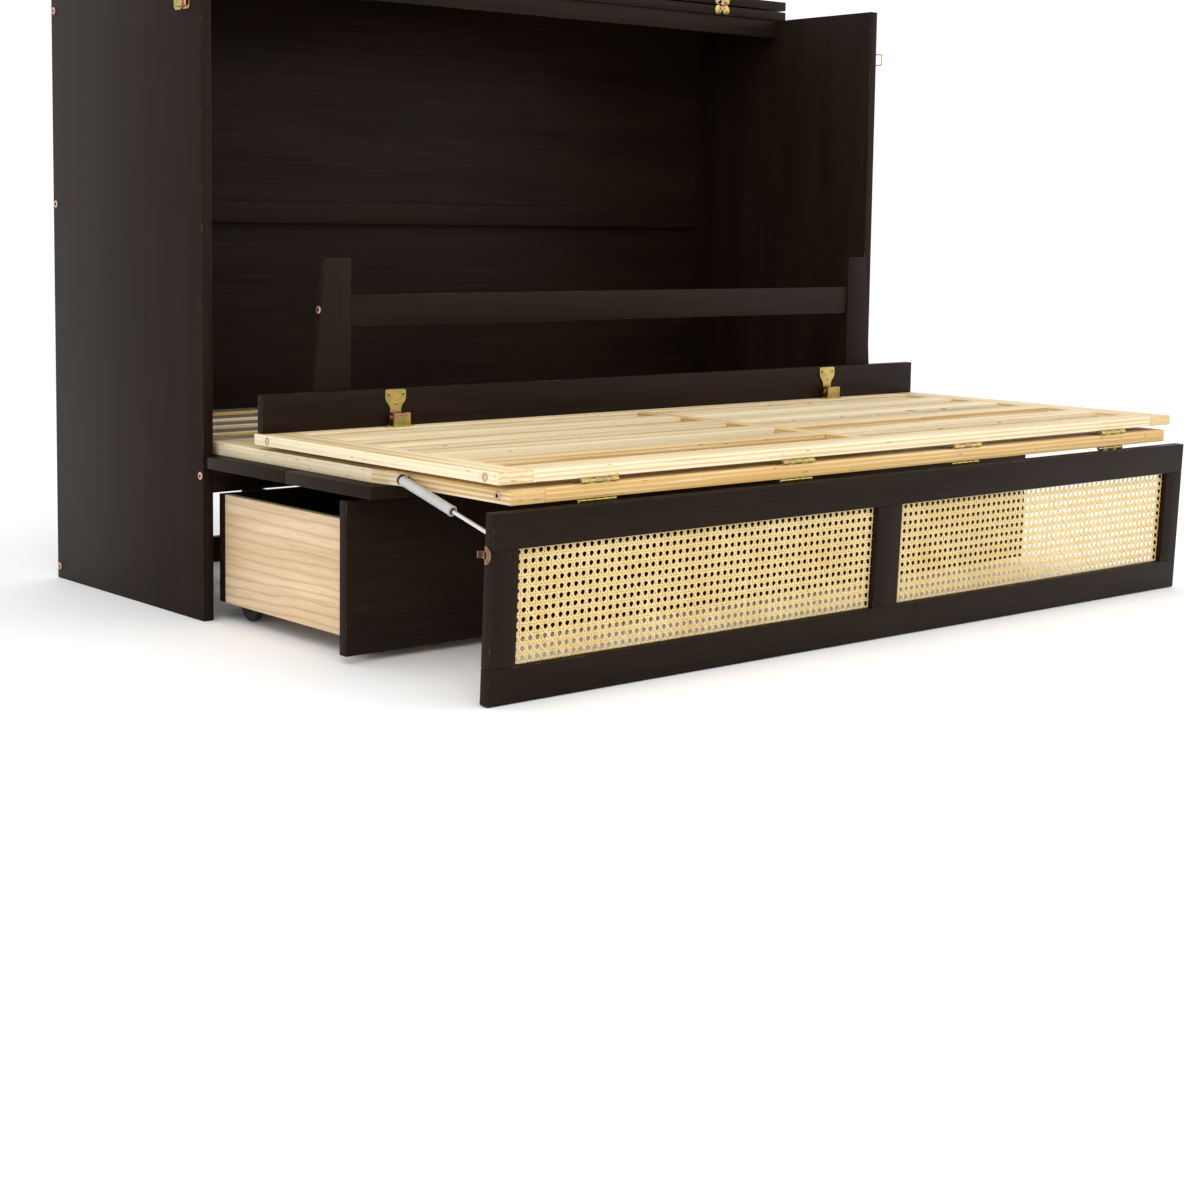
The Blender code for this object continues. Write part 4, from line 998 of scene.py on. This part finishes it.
def makeLatch(side, sign):
    size, metal = latchSizes, latchSizes["metal"]
    axis = jointPlace["lever_turn_" + side]
    inner = sign * (panelSizes["half"] + seatGap)
    front, rear = frontY + size["front"], frontY + size["rear"]
    low, high = axis.z - size["half"], axis.z + size["half"]
    plate = roundCorners([(front, low, 0.005), (rear, low, 0.003), (rear, high, 0.003), (front, high, 0.005)])
    made = [makeSheet([(inner, u, v) for u, v in plate], (sign * metal, 0, 0), 0.0004)]
    reach = abs(axis.x) - abs(inner)
    turns = (math.radians(150 - 30 * number) for number in range(6))
    eye = [(axis.y + size["eye"] * math.cos(turn), reach + size["eye"] * math.sin(turn)) for turn in turns]
    ear = [(frontY + size["earFront"], 0), *eye, (frontY + size["earRear"], 0)]
    for edge in (-1, 1):
        outline = [(inner + sign * v, u, axis.z + edge * size["earZ"]) for u, v in ear]
        made.append(makeSheet(outline, (0, 0, edge * size["earMetal"])))
    low, high = axis.z - size["pinHalf"], axis.z + size["pinHalf"]
    made.append(makeRod((axis.x, axis.y, low), (axis.x, axis.y, high), size["pin"], 16))
    node = "latch_plate_" + side
    settle(joinPieces("look_" + node, made), "cabinet", "zinc_steel", [node])
    low, high = axis.z - size["leverHalf"], axis.z + size["leverHalf"]
    made = [makeRod((axis.x, axis.y, low), (axis.x, axis.y, high), size["sleeve"], 24, 0.0003)]
    tip = axis.y - size["blade"]
    blade = roundCorners([
        (axis.y, low, 0), (axis.y, high, 0),
        (tip, axis.z + size["bladeHalf"], 0.0045), (tip, axis.z - size["bladeHalf"], 0.0045),
    ])
    face = axis.x - sign * metal / 2
    made.append(makeSheet([(face, u, v) for u, v in blade], (sign * metal, 0, 0), 0.0004))
    node = "latch_lever_" + side
    settle(joinPieces("look_" + node, made), "lever_" + side, "zinc_steel", [node])


for side, sign in sides:
    makeLatch(side, sign)


# ---- strut fittings: collars, seal, ball joint and the bracket on the panel ----
strutSizes = {
    "tube": 0.112, "radius": 0.0068, "seal": 0.0046, "ball": 0.0073, "stud": 0.0030, "nut": 0.0052,
    "back": 0.0125, "drop": 0.0385,
}
eyeSizes = {
    "inner": 0.016, "outer": 0.004, "half": 0.011, "metal": 0.0014, "earX": 0.0045, "earMetal": 0.0015,
    "earRoot": 0.009, "ear": 0.0055, "pin": 0.0020, "head": 0.0036, "screwX": 0.0105, "screwZ": 0.0062,
}


def makeStrutFittings(side, sign):
    size = strutSizes
    upper = jointPlace["strut_turn_" + side]
    along = Vector(joints["rod_slide_" + side]["axis"]).normalized()
    tubeEnd = size["tube"]

    def makeRing(start, end, radius, sides, ease):  # a short rod on the strut's own axis
        return makeRod(upper + along * start, upper + along * end, radius, sides, ease)

    made = [
        makeRing(0.004, 0.0065, size["radius"] + 0.0003, 32, 0.0005),
        makeRing(tubeEnd - 0.0035, tubeEnd + 0.0004, size["radius"] + 0.0004, 32, 0.0006),
    ]
    settle(joinPieces("collars_" + side, made), "tube_" + side, "strut_grey")
    made = [makeRing(tubeEnd + 0.0002, tubeEnd + 0.0016, size["seal"], 24, 0.0004)]
    bpy.ops.object.select_all(action="DESELECT")
    bpy.ops.mesh.primitive_uv_sphere_add(
        segments=24, ring_count=14, radius=size["ball"], location=upper - along * 0.0015
    )
    applyPlace(bpy.context.object)
    made.append(bpy.context.object)
    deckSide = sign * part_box("middle_deck")[1][0]
    seat = (deckSide + sign * seatGap, *upper.yz)
    made.append(makeRod(upper, seat, size["stud"], 20, 0.0003))
    made.append(makeRod((deckSide + sign * 0.0018, *upper.yz), seat, size["nut"], 6, 0.0003))
    settle(joinPieces("ballJoint_" + side, made), "tube_" + side, "black_plastic")


# a small plate with one ear, whose pin passes through the rod's eye
def makeEyeBracket(side, sign):
    size = eyeSizes
    x = jointPlace["strut_turn_" + side].x
    y, z = panelAxis.y + strutSizes["back"], panelAxis.z - strutSizes["drop"]
    face = panelSizes["rear"] + seatGap
    inner, outer = x - sign * size["inner"], x + sign * size["outer"]
    low, high = z - size["half"], z + size["half"]
    corners = ((inner, low), (outer, low), (outer, high), (inner, high))
    plate = roundCorners([(*corner, 0.003) for corner in corners])
    made = [makeSheet([(u, face, v) for u, v in plate], (0, size["metal"], 0))]
    turns = (math.radians(22.5 * number) for number in range(9))
    arc = [(y + size["ear"] * math.sin(turn), z - size["ear"] * math.cos(turn)) for turn in turns]
    ear = [(face, z - size["earRoot"]), *arc, (face, z + size["earRoot"])]
    earX = x - sign * size["earX"]
    made.append(makeSheet([(earX, u, v) for u, v in ear], (sign * size["earMetal"], 0, 0)))
    made.append(makeRod((earX, y, z), (x + sign * 0.0034, y, z), size["pin"], 20, 0.0003))
    made.append(makeRod((x + sign * 0.0028, y, z), (x + sign * 0.0038, y, z), size["head"], 20, 0.0004))
    for edge in (-1, 1):
        spot = (x - sign * size["screwX"], face + size["metal"], z + edge * size["screwZ"])
        made.append(makeScrew(spot, (0, 1, 0), 0.0026, 0.0005))
    settle(joinPieces("eyeBracket_" + side, made), "panel", "zinc_steel", lean=True)


for side, sign in sides:
    makeStrutFittings(side, sign)
    makeEyeBracket(side, sign)
print("stage: brackets, hooks, latches and struts done")


# ---- screws and bolts let into the boards: x of the face, then (y from the front, z) of each ----
footScrewZ, middleScrewZ = footTop - 0.0078, deckTop - 0.009
screwRuns = {
    "cabinet": (0.7302, 0, ((0.468, 0.619), (0.470, 0.020), (0.007, 0.218), (0.468, 0.93))),
    "foot_section": (0.7106, 0, ((-0.148, footScrewZ), (-0.653, footScrewZ))),
    "middle_section": (0.6932, 0, ((-0.006, middleScrewZ), (-0.656, middleScrewZ))),
    "legs": (0.5959, 0.08, ((-0.1052, 0.4656),)),
}
for body, (x, tilt, spots) in screwRuns.items():
    made = []
    for side, sign in sides:
        made += [makeScrew((sign * x, frontY + y, z), (sign, 0, tilt), 0.0060, 0.0007) for y, z in spots]
    settle(joinPieces("screws_" + body, made), body, "zinc_steel", material=boltSteel)
print("stage: screws done")


# ---- kept metal and plastic nodes ----
slotOf = {entry["node"]: entry["material_slot"] for entry in frame["record"]["subparts"]}
for node, obj in frame["nodes"].items():
    material = looks.get(slotOf.get(node))
    if material and slotOf[node] not in ("espresso_wood", "pine", "oak_laminate"):
        obj.data.materials.clear()
        obj.data.materials.append(material)
print("stage: kept nodes given their finish")


# ---- room, light and camera ----
def makeRoom():
    bpy.ops.object.select_all(action="DESELECT")
    bpy.ops.mesh.primitive_plane_add(size=40, location=(0, 0, -0.0002))
    floor = bpy.context.object
    floor.name = "paleFloor"
    material, tree, shader = startMaterial("paleFloor")
    place = objectPlace(tree)
    cloud = place.noise(1.5, 2.0)
    color = cloud.paint((0.975, 0.975, 0.975), (0.985, 0.985, 0.985))
    finishMaterial(tree, shader, color, 0.75 + cloud * 0.1)
    floor.data.materials.append(material)
    world = bpy.data.worlds.new("studio")
    world.use_nodes = True
    background = world.node_tree.nodes["Background"]
    background.inputs["Color"].default_value = (1, 1, 1, 1)
    background.inputs["Strength"].default_value = 1.06
    bpy.context.scene.world = world


def makeLight(name, place, target, size, power):
    lamp = bpy.data.lights.new(name, "AREA")
    lamp.shape = "RECTANGLE"
    lamp.size, lamp.size_y = size
    lamp.energy = power
    obj = bpy.data.objects.new(name, lamp)
    bpy.context.scene.collection.objects.link(obj)
    obj.location = place
    obj.rotation_euler = (Vector(target) - Vector(place)).to_track_quat("-Z", "Y").to_euler()


def makeCamera():
    view = {"place": (-2.254, frontY - 2.630, 0.5916), "yaw": 0.685, "pitch": -0.0998, "roll": 0.0108}
    lens = {"length": 61.34, "shiftX": 0.0578, "shiftY": -0.1411}
    data = bpy.data.cameras.new("camera")
    data.lens = lens["length"]
    data.sensor_width = 36
    data.shift_x, data.shift_y = lens["shiftX"], lens["shiftY"]
    camera = bpy.data.objects.new("camera", data)
    bpy.context.scene.collection.objects.link(camera)
    turn = (
        Matrix.Rotation(-view["yaw"], 4, "Z")
        @ Matrix.Rotation(math.pi / 2 + view["pitch"], 4, "X")
        @ Matrix.Rotation(view["roll"], 4, "Z")
    )
    camera.matrix_world = Matrix.Translation(view["place"]) @ turn
    bpy.context.scene.camera = camera


makeRoom()
makeLight("keyLight", (-3.2, -3.6, 3.4), (0, 0, 0.3), (2.6, 2.6), 62)
makeLight("fillLight", (3.4, -3.0, 2.2), (0, 0, 0.3), (2.5, 2.0), 14)
makeLight("topLight", (0, -0.6, 3.6), (0, -0.3, 0), (3.0, 2.0), 16)
makeCamera()
bpy.context.scene.view_settings.view_transform = "Standard"
print("stage: room ready")
